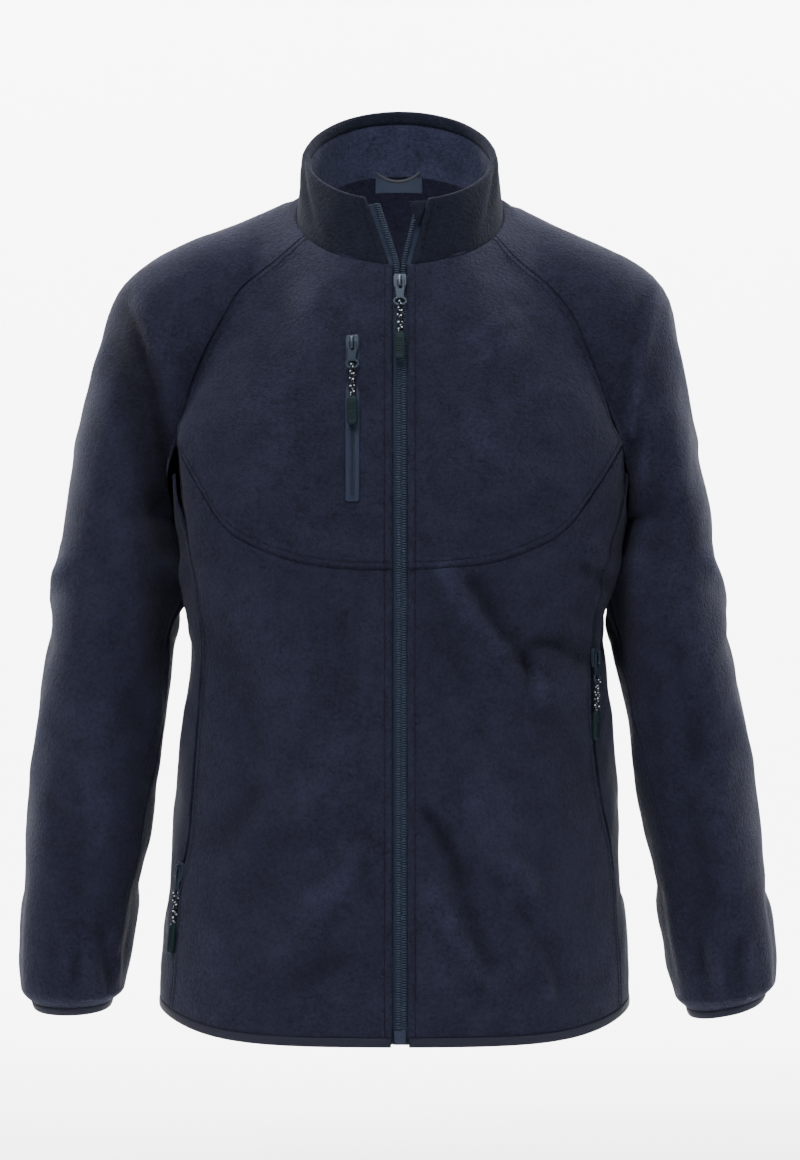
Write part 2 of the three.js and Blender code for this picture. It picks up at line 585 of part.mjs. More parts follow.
function chestSeamRow(side) {
  const sign = side === 'left' ? 1 : -1;
  const end = SLEEVES[side][CHEST_STEP][0];
  const inner = sign * ZIP_HALF;
  return evenly(CHEST_COLS).map((u, i) => {
    if (i === CHEST_COLS) return end.clone();
    const x = mix(inner, end.x, u);
    const z = column(CHEST_SEAM, 'x', 'z', x);
    return V(x, frontY(x, z), z);
  });
}

function chestGrid(side) {
  const sign = side === 'left' ? 1 : -1;
  const low = chestSeamRow(side);
  const raglan = SLEEVES[side].slice(0, CHEST_STEP + 1).map((row) => row[0]);
  const from = turnOf(NECK, sign * (ZIP_HALF + 2.5), false), to = turnOf(NECK, raglan[0].x, false);
  const neck = evenly(CHEST_COLS).map((u) => ringPoint(NECK, mix(from, to, u)));
  neck[CHEST_COLS].copy(raglan[0]);
  const middle = evenly(CHEST_STEP).map((v, j) => {
    if (j === 0) return neck[0].clone();
    if (j === CHEST_STEP) return low[0].clone();
    const z = mix(neck[0].z, low[0].z, v);
    return V(sign * ZIP_HALF, frontY(sign * ZIP_HALF, z), z);
  });
  return patch(neck, low, middle, raglan, frontY);
}

function skirtGrid(side) {
  const sign = side === 'left' ? 1 : -1;
  const top = chestSeamRow(side);
  const armhole = SLEEVES[side].slice(CHEST_STEP, SIDE_STEP).map((row) => row[0]);
  const outer = [...armhole, ...SEAMS[side].front].map((p) => p.clone());
  const x0 = sign * ZIP_HALF;
  const inner = evenly(SKIRT_ROWS).map((v) => {
    const z = mix(top[0].z, CLOTH_HEM(x0, true), v);
    return V(x0, frontY(x0, z), z);
  });
  const last = outer[outer.length - 1];
  const bottom = evenly(CHEST_COLS).map((u) => {
    const x = mix(x0, last.x, u), z = CLOTH_HEM(x, true);
    return V(x, frontY(x, z), z);
  });
  bottom[CHEST_COLS].copy(last);
  return patch(top, bottom, inner, outer, frontY);
}

// The side panel is laid from the side: its x follows from y and z.
function sideGrid(side) {
  const sign = side === 'left' ? 1 : -1;
  const cloth = SLEEVES[side];
  const top = [];
  for (let i = SIDE_STEP; i <= RAGLAN_STEPS; i += 1) top.push(cloth[i][0].clone());
  for (let i = RAGLAN_STEPS - 1; i >= SIDE_STEP; i -= 1) top.push(cloth[i][ROUND_STEPS].clone());
  const front = SEAMS[side].front.map((p) => p.clone()), back = SEAMS[side].back.map((p) => p.clone());
  const cols = top.length - 1, rows = front.length - 1;
  const widthAt = (y, z) => {
    const half = column(BODY, 'z', side, z);
    const deep = column(BODY, 'z', y < 0 ? 'front' : 'back', z);
    const n = column(BODY, 'z', 'square', z);
    return half * Math.max(1 - Math.abs(y / deep) ** n, 0.001) ** (1 / n);
  };
  const grid = front.map((p, j) => evenly(cols).map((u, i) => {
    if (j === 0) return top[i].clone();
    const v = j / rows, fade = Math.max(1 - v * 7, 0) ** 2;
    const y = mix(front[j].y, back[j].y, u);
    const zEdge = mix(front[j].z, back[j].z, u);
    const zHem = mix(zEdge, HEM_SIDE + BAND_HIGH + SEAM_GAP, 4 * u * (1 - u) * v ** 3);
    const base = mix(top[0].z, top[cols].z, u);
    const z = zHem + fade * (top[i].z - base);
    const yTop = top[i].y - mix(top[0].y, top[cols].y, u);
    const yy = y + fade * yTop;
    const edge = mix(Math.abs(front[j].x) - widthAt(front[j].y, z), Math.abs(back[j].x) - widthAt(back[j].y, z), u);
    const x = widthAt(yy, z) + edge;
    const topMiss = Math.abs(top[i].x) - widthAt(top[i].y, top[i].z);
    return V(sign * (x + fade * (topMiss - edge)), yy, z);
  }));
  return grid;
}

const BACK_COLS = 14;
function backGrid() {
  const rows = SIDE_STEP + SIDE_ROWS;
  const edge = (side) => [...SLEEVES[side].slice(0, SIDE_STEP).map((row) => row[ROUND_STEPS]),
    ...SEAMS[side].back].map((p) => p.clone());
  const right = edge('right'), left = edge('left');
  const a = turnOf(NECK, right[0].x, true), b = turnOf(NECK, left[0].x, true);
  const top = evenly(BACK_COLS).map((u) => ringPoint(NECK, mix(a, b, u)));
  const x0 = right[rows].x, x1 = left[rows].x;
  const bottom = evenly(BACK_COLS).map((u) => {
    const x = mix(x0, x1, u), z = CLOTH_HEM(x, false);
    return V(x, backY(x, z), z);
  });
  bottom[0].copy(right[rows]);
  bottom[BACK_COLS].copy(left[rows]);
  return patch(top, bottom, right, left, backY);
}

// Opens the seam along a hand pocket by moving the border of a panel away from it.
function openPocket(grid, col, towards, side) {
  const { top, bottom, open } = POCKET[side];
  grid.forEach((row) => {
    const p = row[col];
    if (p.z < top && p.z > bottom) p.add(row[towards].clone().sub(p).setLength(open));
  });
  return grid;
}

// Collar.
const COLLAR_HALF = 2.9;        // from the middle of the double collar to its outer face
const COLLAR_SKIN = 2.55;       // thickness of one of its two layers
const ROLL_DOWN = 11;           // how far the outer layer turns down inside the rim
const COLLAR_STEPS = 26;
const EDGE_LOW = ZIP_HALF + 2.5;             // the collar's front edges, at the neck seam
const EDGE_HIGH = { right: 28, left: 23 };   // and at the rim, where the V is widest

// The frame of the collar at a share u round it, from the wearer's right edge to the left.
function collarFrame(u) {
  const low = turnOf(NECK, EDGE_LOW, false);
  const high = { right: turnOf(RIM, EDGE_HIGH.right, false), left: turnOf(RIM, EDGE_HIGH.left, false) };
  const at = (t) => ringPoint(NECK, mix(-low, low, t));
  const foot = at(u), head = ringPoint(RIM, mix(-high.right, high.left, u));
  const up = head.clone().sub(foot);
  const tall = up.length();
  up.normalize();
  const along = at(u + 0.01).sub(at(u - 0.01)).normalize();
  const out = up.clone().cross(along).normalize();
  if (out.dot(V(foot.x, foot.y - NECK.midY, 0)) < 0) out.negate();
  return { foot, up, out, along, tall };
}
const onCollar = (f, h, o) => f.foot.clone().addScaledVector(f.up, h).addScaledVector(f.out, o - COLLAR_HALF);

function collarOuter() {
  const r = COLLAR_HALF, skin = COLLAR_SKIN;
  return carried(evenly(COLLAR_STEPS).map((u) => {
    const f = collarFrame(u), top = f.tall - r;
    const rim = [0, 0.25, 0.5, 0.75, 1].map((t) => [top + r * Math.sin(Math.PI * t), r * Math.cos(Math.PI * t)]);
    const profile = [[0.5, r], ...rim, [f.tall - ROLL_DOWN, -r], [f.tall - ROLL_DOWN, skin - r],
      [top - 1, skin - r], [top - 1, r - skin], [0.5, r - skin]];
    return profile.map(([h, o]) => onCollar(f, h, o));
  }));
}
function collarInner() {
  const r = COLLAR_HALF, skin = COLLAR_SKIN;
  return carried(evenly(COLLAR_STEPS).map((u) => {
    const f = collarFrame(u), end = f.tall - ROLL_DOWN - SEAM_GAP;
    return [[0.5, -r], [end, -r], [end, skin - r], [0.5, skin - r]].map(([h, o]) => onCollar(f, h, o));
  }));
}

// Front zip.
const BEAD = 4.2;               // half width of the closed teeth
const BEAD_IN = 1.5;            // how deep the teeth lie below the cloth's face
const TAPE_WIDE = 13;           // from the middle of the zip to the hidden edge of the tape
const TAPE_END = -668;          // the tape ends just above the box at the hem
const TAPE_FREE = 8;            // width of tape that shows beside the collar's edge
function frontTape(side) {
  const sign = side === 'left' ? 1 : -1;
  const rows = [];
  for (const t of evenly(27)) {
    const z = mix(TAPE_END, ZIP_TOP + 3, t);
    const spot = (a, depth) => V(sign * a, frontY(sign * a, z) + depth, z);
    const deep = WALL + BEHIND, wide = mix(TAPE_WIDE, 6, THREE.MathUtils.smoothstep(z, ZIP_TOP - 25, ZIP_TOP));
    rows.push([spot(0.25, BEAD_IN), spot(BEAD, BEAD_IN), spot(BEAD + 0.3, deep), spot(wide, deep),
      spot(wide, deep + TAPE_THICK), spot(0.25, deep + TAPE_THICK)]);
  }
  for (const t of [0.06, 0.3, 0.55, 0.8, 0.97]) {
    const f = collarFrame(side === 'left' ? 1 : 0);
    const h = t * (f.tall - 4);
    const edge = onCollar(f, h, 0);
    const inward = V(-sign, 0, 0);
    const wide = mix(EDGE_LOW - 1.6, TAPE_FREE, t);
    const spot = (a, o) => edge.clone().addScaledVector(inward, wide - a + 0.8).addScaledVector(f.out, o);
    rows.push([spot(0.25, 1.6), spot(BEAD, 1.6), spot(BEAD + 0.3, 0.4), spot(wide, 0.4),
      spot(wide, 0.4 - TAPE_THICK), spot(0.25, 0.4 - TAPE_THICK)]);
  }
  return carried(rows);
}

function zipBox() {
  const outline = roundedRect(9.4, 11, 1.5);
  const y = frontY(0, -674);
  return extruded(outline, 3.6, 0.4, 1).translate(0, 0, 0.4).rotateX(Math.PI / 2)
    .translate(0, y + 3.4, TAPE_END - 0.3 - 5.5);
}

// Sliders and pulls.
function roundedRect(wide, high, r) {
  const w = wide / 2, h = high / 2;
  const s = new THREE.Shape();
  s.moveTo(-w + r, -h).lineTo(w - r, -h).absarc(w - r, -h + r, r, -Math.PI / 2, 0, false);
  s.lineTo(w, h - r).absarc(w - r, h - r, r, 0, Math.PI / 2, false);
  s.lineTo(-w + r, h).absarc(-w + r, h - r, r, Math.PI / 2, Math.PI, false);
  s.lineTo(-w, -h + r).absarc(-w + r, -h + r, r, Math.PI, Math.PI * 1.5, false);
  return s;
}
// An outline given depth and rounded edges, its back at z = 0.
function extruded(shape, deep, bevel, segments = 2) {
  return new THREE.ExtrudeGeometry(shape, {
    depth: deep - 2 * bevel, bevelEnabled: bevel > 0, bevelThickness: bevel, bevelSize: bevel,
    bevelOffset: -bevel, bevelSegments: segments, curveSegments: 3,
  }).translate(0, 0, bevel);
}

// Puts a piece drawn with x across, y up and z outwards into a frame on the garment.
function placed(geometry, frame) {
  const { origin, across, up, out } = frame;
  const m = new THREE.Matrix4().makeBasis(across, up, out).setPosition(origin);
  return geometry.applyMatrix4(m);
}

const SLIDER = { wide: 10.4, thick: 2.4, axis: 2.0, arch: 2.6, loop: 6.6 };
const PULL = {
  tab: 23, wide: 5.4, thick: 1.2, eyeHigh: 7.5, eyeWide: 3.4, ring: 3.9, hole: 2.4,
  cord: 2.2, grip: 22, gripWide: 8.4, gripThick: 4.6, gripTop: -43.5,
};

// The slider: a shield-shaped plate with an arch for the tab. z = 0 is the tab's hinge.
function sliderSolid() {
  const w = SLIDER.wide / 2;
  const shield = new THREE.Shape();
  shield.moveTo(-w + 0.8, 5).lineTo(w - 0.8, 5).lineTo(w, 3).lineTo(w, -3).lineTo(w - 1.6, -10)
    .lineTo(-w + 1.6, -10).lineTo(-w, -3).lineTo(-w, 3).lineTo(-w + 0.8, 5);
  const plate = extruded(shield, SLIDER.thick, 0.4).translate(0, 0, -SLIDER.axis - SLIDER.thick + 1.0);
  const side = new THREE.Shape();      // the arch from the side: x is outwards, y is up
  const base = -1.3, crown = SLIDER.arch, leg = 1.4;
  side.moveTo(base, 3.4).lineTo(crown - 1.2, 3.4).lineTo(crown, 2.2).lineTo(crown, -SLIDER.loop + 1)
    .lineTo(crown - 1.2, -SLIDER.loop - 0.2).lineTo(base, -SLIDER.loop - 0.2)
    .lineTo(base, -SLIDER.loop + leg - 0.2).lineTo(crown - 1.4, -SLIDER.loop + leg - 0.2)
    .lineTo(crown - 1.4, 3.4 - leg).lineTo(base, 3.4 - leg).lineTo(base, 3.4);
  const arch = new THREE.ExtrudeGeometry(side, { depth: 2.4, bevelEnabled: false, steps: 1 })
    .translate(0, 0, -1.2).rotateY(-Math.PI / 2);
  return joined([plate, arch]);
}

// Unites overlapping solids into one closed body.
function joined(parts) {
  const whole = parts.map(toManifold).reduce((a, b) => a.add(b));
  const m = whole.getMesh();
  const geometry = new THREE.BufferGeometry();
  geometry.setAttribute('position', new THREE.Float32BufferAttribute(m.vertProperties, 3));
  geometry.setIndex(Array.from(m.triVerts));
  geometry.computeVertexNormals();
  return geometry;
}
function toManifold(geometry) {
  let g = geometry.clone();
  g.deleteAttribute('normal');
  g.deleteAttribute('uv');
  g = mergeVertices(g, 1e-4);
  return new wasm.Manifold(new wasm.Mesh({
    numProp: 3, vertProperties: new Float32Array(g.attributes.position.array),
    triVerts: new Uint32Array(g.index.array),
  }));
}

// The tab: a flat plate with an eye for the slider's arch and a round ring at its end.
function tabSolid() {
  const { wide, tab, eyeHigh, eyeWide, ring, hole, thick } = PULL;
  const w = wide / 2, neck = 1.7, ringAt = -(tab - ring);
  const s = new THREE.Shape();
  s.moveTo(-w + 0.8, 0.7).lineTo(w - 0.8, 0.7).lineTo(w, 0).lineTo(w, -eyeHigh - 2).lineTo(neck, -eyeHigh - 5);
  const open = Math.asin(neck / ring);
  s.lineTo(ring * Math.sin(open), ringAt + ring * Math.cos(open));
  s.absarc(0, ringAt, ring, Math.PI / 2 - open, -Math.PI * 1.5 + open, true);
  s.lineTo(-neck, -eyeHigh - 5).lineTo(-w, -eyeHigh - 2).lineTo(-w, 0).lineTo(-w + 0.8, 0.7);
  const eye = new THREE.Path();
  const e = eyeWide / 2;
  eye.moveTo(-e, -0.7).lineTo(-e, -0.7 - eyeHigh).lineTo(e, -0.7 - eyeHigh).lineTo(e, -0.7).lineTo(-e, -0.7);
  const round = new THREE.Path();
  round.absarc(0, ringAt, hole, 0, Math.PI * 2, false);
  s.holes.push(eye, round);
  return new THREE.ExtrudeGeometry(s, { depth: thick, bevelEnabled: false, curveSegments: 6 })
    .translate(0, 0, -thick / 2);
}

// The cord: from the grip up, through the ring and back down, its two strands twisted.
function cordRoute() {
  const ringAt = -(PULL.tab - PULL.ring), r = PULL.cord / 2;
  const apart = r + 0.25, foot = PULL.gripTop + 0.3 + 0.2;
  const strand = (sign) => evenly(6).map((t) => {
    const turn = Math.PI / 2 + 2.2 * Math.PI * (1 - t) ** 1.2;
    const reach = mix(apart, 2.1, Math.max(t * 6 - 5, 0));
    return V(sign * reach * Math.cos(turn), mix(foot, ringAt - 3.6, t), sign * reach * Math.sin(turn));
  });
  const top = ringAt + 0.3;
  return [...strand(1), V(0, ringAt - 1.2, 1.9), V(0, top - 0.3, 1.05), V(0, top, 0), V(0, top - 0.3, -1.05),
    V(0, ringAt - 1.2, -1.9), ...strand(-1).reverse()];
}
function cordSolid() {
  const path = new THREE.CatmullRomCurve3(cordRoute(), false, 'centripetal');
  const r = PULL.cord / 2, circle = new THREE.Shape();
  evenly(8).forEach((t, i) => {
    const a = t * Math.PI * 2;
    if (i === 0) circle.moveTo(r, 0);
    else if (i < 8) circle.lineTo(r * Math.cos(a), r * Math.sin(a));
  });
  circle.closePath();
  return new THREE.ExtrudeGeometry(circle, { steps: 22, bevelEnabled: false, extrudePath: path });
}
function gripSolid() {
  const { grip, gripWide, gripThick, gripTop } = PULL;
  return extruded(roundedRect(gripWide, grip, 2.6), gripThick, 1.2, 1)
    .translate(0, gripTop - grip / 2, -gripThick / 2);
}

// A frame on the garment: x across, y up along the cloth, z outwards.
function frameOn(origin, down, out) {
  const up = down.clone().negate().normalize();
  const across = up.clone().cross(out).normalize();
  return { origin, up, across, out: across.clone().cross(up).normalize() };
}
// How far the hinge stands in front of the face that the slider lies on.
const STANDS = SLIDER.axis + SLIDER.thick - 1.0 + 0.3;

// Adds a slider and its pull. "under" gives the place that lies under the slider at a height.
function addZipPull(name, z, faceAt, clothAt, metal) {
  const here = faceAt(z), lower = faceAt(z - 12);
  const down = lower.point.clone().sub(here.point);
  const flat = frameOn(here.point.clone().addScaledVector(here.out, STANDS), down, here.out);
  group.add(mesh(`${name}_slider`, placed(sliderSolid(), flat), metal, 0.4, 0.7));
  // The pull hangs down along the cloth and just clear of it.
  const reach = -PULL.gripTop + PULL.grip;
  const end = clothAt(z - reach * 0.95);
  const mid = clothAt(z - reach * 0.7);
  const clear = PULL.gripThick / 2 + 0.8;
  const a = end.point.clone().addScaledVector(end.out, clear);
  const b = mid.point.clone().addScaledVector(mid.out, clear);
  const dirA = a.sub(flat.origin).normalize(), dirB = b.sub(flat.origin).normalize();
  const hangs = dirA.dot(here.out) > dirB.dot(here.out) ? dirA : dirB;
  const rest = frameOn(flat.origin.clone(), hangs, here.out);
  group.add(mesh(`${name}_tab`, placed(tabSolid(), rest), metal, 0.35, 0.8));
  group.add(mesh(`${name}_cord`, placed(cordSolid(), rest), '#3a4152', 0.9));
  group.add(mesh(`${name}_grip`, placed(gripSolid(), rest), '#333c46', 0.6));
}

// The outward direction of the garment's form at a place seen from the front.
function faceOut(x, z, depthAt) {
  const e = 1.5;
  const dx = (depthAt(x + e, z) - depthAt(x - e, z)) / (2 * e);
  const dz = (depthAt(x, z + e) - depthAt(x, z - e)) / (2 * e);
  return V(dx, -1, dz).normalize();
}
const spotOn = (x, z) => ({ point: V(x, frontY(x, z), z), out: faceOut(x, z, frontY) });

// Chest pocket zip.
const CHEST_ZIP = { x: -37.8, half: 6.2, top: -115.8, bottom: -248.5, lift: 0.35, thick: 1.0 };
function chestTape() {
  const { x, half, top, bottom, lift, thick } = CHEST_ZIP;
  const layer = (raise) => evenly(10).map((v) => evenly(3).map((u) => {
    const px = mix(x - half, x + half, u), pz = mix(top, bottom, v);
    const s = spotOn(px, pz);
    return s.point.addScaledVector(s.out, raise);
  }));
  return between(layer(lift + thick), layer(lift));
}

// Hand pocket zips.
// The tape lies behind the open seam, made from the points of the panels beside it.
function pocketTape(side) {
  const { top, bottom } = POCKET[side];
  const frontGrid = PANELS[`front_${side}`], sidePanel = PANELS[`side_${side}`];
  const fn = outwardNormals(frontGrid, FRONT), sn = outwardNormals(sidePanel, V(side === 'left' ? 1 : -1, 0, 0));
  const shift = SIDE_STEP - CHEST_STEP;
  const rows = [];
  for (let j = 0; j <= SIDE_ROWS; j += 1) {
    const a = frontGrid[j + shift][CHEST_COLS], b = sidePanel[j][0];
    if (a.z > top + 32 || a.z < bottom - 32) continue;
    const deep = WALL + BEHIND;
    const lap = (p, next, normal) => next.clone().sub(p).setLength(5).add(p).addScaledVector(normal, -deep);
    const p = lap(a, frontGrid[j + shift][CHEST_COLS - 1], fn[j + shift][CHEST_COLS]);
    const q = lap(b, sidePanel[j][1], sn[j][0]);
    const n = fn[j + shift][CHEST_COLS].clone().add(sn[j][0]).normalize();
    rows.push([p, q, q.clone().addScaledVector(n, -TAPE_THICK), p.clone().addScaledVector(n, -TAPE_THICK)]);
  }
  return carried(rows);
}
function pocketSpot(side, z) {
  const seam = SEAMS[side].front;
  let j = seam.findIndex((p) => p.z < z);
  j = clamp(j, 1, seam.length - 1);
  const t = (seam[j - 1].z - z) / (seam[j - 1].z - seam[j].z);
  const point = seam[j - 1].clone().lerp(seam[j], clamp(t, 0, 1));
  if (z < seam[seam.length - 1].z) point.z = z;
  return { point, out: faceOut(point.x * 0.985, z, frontY) };
}

// Bindings, loop and label.
// A binding follows a path along the cloth's edge, with its own section.
function binding(path, outs, high) {
  return carried(path.map((p, i) => {
    const at = (o, h) => p.clone().addScaledVector(outs[i], o).add(V(0, 0, h));
    const low = -SEAM_GAP - high;
    return [at(0.5, -SEAM_GAP), at(0.5, low + 0.8), at(-0.5, low), at(-WALL + 0.4, low), at(-WALL - 0.5, low + 0.8),
      at(-WALL - 0.5, -SEAM_GAP)];
  }));
}
function hemBinding() {
  const last = (name) => PANELS[name][PANELS[name].length - 1];
  const path = [...last('front_right'), ...last('side_right').slice(1), ...last('back').slice(1),
    ...last('side_left').slice().reverse().slice(1), ...last('front_left').slice().reverse().slice(1)]
    .map((p) => p.clone());
  const outs = path.map((p, i) => {
    const a = path[Math.max(i - 1, 0)], b = path[Math.min(i + 1, path.length - 1)];
    const n = V(b.y - a.y, -(b.x - a.x), 0).normalize();
    return n.dot(V(p.x, p.y * 2, 0)) < 0 ? n.negate() : n;
  });
  path[0].x -= 0.2;
  path[path.length - 1].x += 0.2;
  return binding(path, outs, BAND_HIGH);
}
function cuffBinding(side) {
  const grid = SLEEVES[side], end = grid[grid.length - 1], before = grid[grid.length - 2];
  const normals = outwardNormals(grid, V(side === 'left' ? 1 : -1, 0, 0))[grid.length - 1];
  const rows = (o) => [SEAM_GAP + 0.1, SEAM_GAP + CUFF_BAND].map((h) => end.slice(0, -1).map((p, i) => {
    const along = p.clone().sub(before[i]).normalize();
    return p.clone().addScaledVector(along, h).addScaledVector(normals[i], o);
  }));
  return between(rows(0.4), rows(-WALL - 0.4), true);
}

const LOOP = { x0: -20.4, x1: 17, top: 34.6, low: 26.5, y: 61.5, thick: 3 };
const loopRoute = () => evenly(14).map((t) => V(mix(LOOP.x0, LOOP.x1, t), LOOP.y + 1.5 * Math.sin(Math.PI * t),
  LOOP.top - (LOOP.top - LOOP.low) * Math.sin(Math.PI * t) ** 0.7));
function hangerLoop() {
  const r = LOOP.thick / 2, circle = new THREE.Shape();
  circle.moveTo(r, 0);
  for (let i = 1; i < 8; i += 1) circle.lineTo(r * Math.cos(i * Math.PI / 4), r * Math.sin(i * Math.PI / 4));
  circle.closePath();
  return new THREE.ExtrudeGeometry(circle, {
    steps: 14, bevelEnabled: false, extrudePath: new THREE.CatmullRomCurve3(loopRoute()),
  });
}
function label() {
  const layer = (deep) => evenly(3).map((v) => evenly(6).map((u) => {
    const x = mix(-21, 19, u), z = mix(33.5, 18.5, v) - 0.002 * x * x;
    return V(x, backY(x, z) - deep, z);
  }));
  return between(layer(WALL + 1.5), layer(WALL + 2.3));
}

// The guard folded over the zip's top, on the wearer's left.
function chinGuard() {
  const f = collarFrame(1);
  const at = (a, h, o) => onCollar(f, h, o).add(V(-a, 0, 0));
  const tall = f.tall;
  const outline = [[0.6, tall - 3], [0.6, tall - 15], [3, tall - 22], [8, tall - 17], [15, tall - 6], [15, tall - 3]];
  const layer = (o) => [outline.map(([a, h]) => at(a, h, o)),
    outline.map(([a, h]) => at(mix(a, 5, 0.8), mix(h, tall - 10, 0.8), o))];
  return between(layer(4.4), layer(2.2), true);
}

// The whole jacket.
for (const side of ['right', 'left']) {
  PANELS[`chest_${side}`] = chestGrid(side);
  PANELS[`front_${side}`] = openPocket(skirtGrid(side), CHEST_COLS, CHEST_COLS - 1, side);
  PANELS[`side_${side}`] = openPocket(sideGrid(side), 0, 1, side);
  const out = V(side === 'left' ? 1 : -1, 0, 0);
  group.add(mesh(`chest_${side}`, clothWall(PANELS[`chest_${side}`], FRONT)));
  group.add(mesh(`front_${side}`, clothWall(PANELS[`front_${side}`], FRONT)));
  group.add(mesh(`side_${side}`, clothWall(PANELS[`side_${side}`], out)));
  group.add(mesh(`sleeve_${side}`, clothWall(SLEEVES[side], out)));
}
PANELS.back = backGrid();
group.add(mesh('back', clothWall(PANELS.back, BACK)));
group.add(mesh('collar_outer', collarOuter()));
group.add(mesh('collar_inner', collarInner()));
group.add(mesh('chin_guard', chinGuard()));
group.add(mesh('hem_binding', hemBinding(), '#252938'));
const tapeColour = '#2b3241', metalColour = '#48586b';
for (const side of ['right', 'left']) {
  group.add(mesh(`cuff_binding_${side}`, cuffBinding(side), '#252938'));
  group.add(mesh(`front_tape_${side}`, frontTape(side), tapeColour, 0.8));
  group.add(mesh(`pocket_tape_${side}`, pocketTape(side), tapeColour, 0.8));
}
group.add(mesh('zip_box', zipBox(), metalColour, 0.4, 0.6));
group.add(mesh('chest_tape', chestTape(), '#303546', 0.5));
group.add(mesh('hanger_loop', hangerLoop(), '#2d3043'));
group.add(mesh('neck_label', label(), '#333a50', 0.8));

const deeper = (s, depth) => ({ point: s.point.clone().addScaledVector(s.out, -depth), out: s.out });
addZipPull('front', -70, (z) => deeper(spotOn(0, z), BEAD_IN), (z) => spotOn(0, z), metalColour);
addZipPull('chest', -121, (z) => deeper(spotOn(CHEST_ZIP.x, z), -CHEST_ZIP.lift - CHEST_ZIP.thick),
  (z) => deeper(spotOn(CHEST_ZIP.x, z), -CHEST_ZIP.lift - CHEST_ZIP.thick), metalColour);
addZipPull('pocket_right', -546, (z) => pocketSpot('right', z), (z) => pocketSpot('right', z), metalColour);
addZipPull('pocket_left', -372, (z) => pocketSpot('left', z), (z) => pocketSpot('left', z), metalColour);

export default group;
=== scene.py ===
# %% [markdown]
# # A fleece zip jacket, stood up as if someone wore it
#
# The jacket is built here from a few short tables and formulas, piece by piece as a maker
# would cut it: two chest panels, two fronts, two side panels, a back, two raglan sleeves and a
# double collar, then the zips, the bindings and the sewing.
#
# All sizes in the tables are millimetres, because that is how a pattern is drawn. They turn into
# metres in one place, where a grid of points becomes a mesh. +X is the wearer's left, the front
# faces -Y and +Z is up. The origin is the middle of the neck opening.

# %% Start
import bpy
import numpy as np
from math import pi
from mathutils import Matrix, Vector


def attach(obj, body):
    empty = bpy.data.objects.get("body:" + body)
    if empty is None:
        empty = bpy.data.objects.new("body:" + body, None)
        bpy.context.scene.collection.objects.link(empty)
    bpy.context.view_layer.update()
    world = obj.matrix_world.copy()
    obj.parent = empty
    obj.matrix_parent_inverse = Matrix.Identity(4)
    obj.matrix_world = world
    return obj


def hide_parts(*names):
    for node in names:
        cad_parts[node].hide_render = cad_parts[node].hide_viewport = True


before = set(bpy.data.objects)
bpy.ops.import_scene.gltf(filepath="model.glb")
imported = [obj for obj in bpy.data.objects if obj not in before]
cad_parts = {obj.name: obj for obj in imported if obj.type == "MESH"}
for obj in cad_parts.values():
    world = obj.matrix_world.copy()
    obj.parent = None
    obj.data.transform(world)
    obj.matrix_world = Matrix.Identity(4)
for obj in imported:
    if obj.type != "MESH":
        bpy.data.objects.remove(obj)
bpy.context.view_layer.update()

MM = 0.001

# %% [markdown]
# ## The pattern's tables
#
# A jacket is a few tubes that grow out of each other. Each tube is described by cross sections:
# how far it reaches to each side, to the front and to the back. Between two sections the form
# follows a smooth curve, so that a short table is enough for the whole body.

# %% Tables of sections
def table(columns, *rows):
    """A table with named columns: a dictionary with one array for each column."""
    return dict(zip(columns.split(), np.array(rows, float).T))


WALL = 2.4             # thickness of one layer of fleece
ZIP_HALF = 6.2         # from the middle of the front zip to the cloth's edge
ZIP_TOP = -65.0        # height of the main slider's top, where the V opens
BAND_HIGH = 6.0        # height of the hem binding
CUFF_BAND = 5.0        # height of a cuff binding
SEAM_GAP = 0.3         # room that a seam takes
HEM_BACK, HEM_FRONT, HEM_SIDE = -664.0, -682.0, -661.0
SLEEVE_ROUND = 2.1     # squareness of the sleeves' sections
UNDERARM = -250.0      # height where body and sleeve part

BODY = table("z right left front back square",
             (60, 40, 40, 4, 50, 2), (38, 54, 54, 18, 68, 2), (20, 74, 74, 38, 80, 2),
             (0, 92, 92, 58, 91, 2), (-30, 108, 106, 79, 102, 2.1), (-57, 122, 118, 92, 109, 2.1),
             (-100, 144, 140, 107, 116, 2.3), (-150, 170, 168, 118, 120, 2.6),
             (-200, 187, 187, 126, 120, 3), (-240, 187.5, 187.5, 129, 117, 3),
             (-280, 182, 182, 130, 113, 2.9), (-311, 178.5, 176, 130, 109, 2.8),
             (-344, 176.8, 169, 130, 106, 2.6), (-377, 174.5, 171, 130, 105, 2.5),
             (-410, 176.8, 173.5, 131, 105, 2.5), (-477, 182.6, 177.6, 132, 108, 2.4),
             (-543, 189, 181, 134, 113, 2.4), (-610, 195.9, 188, 136, 119, 2.4),
             (-643, 199, 190, 136, 121, 2.4), (-690, 198, 189, 134, 120, 2.4))

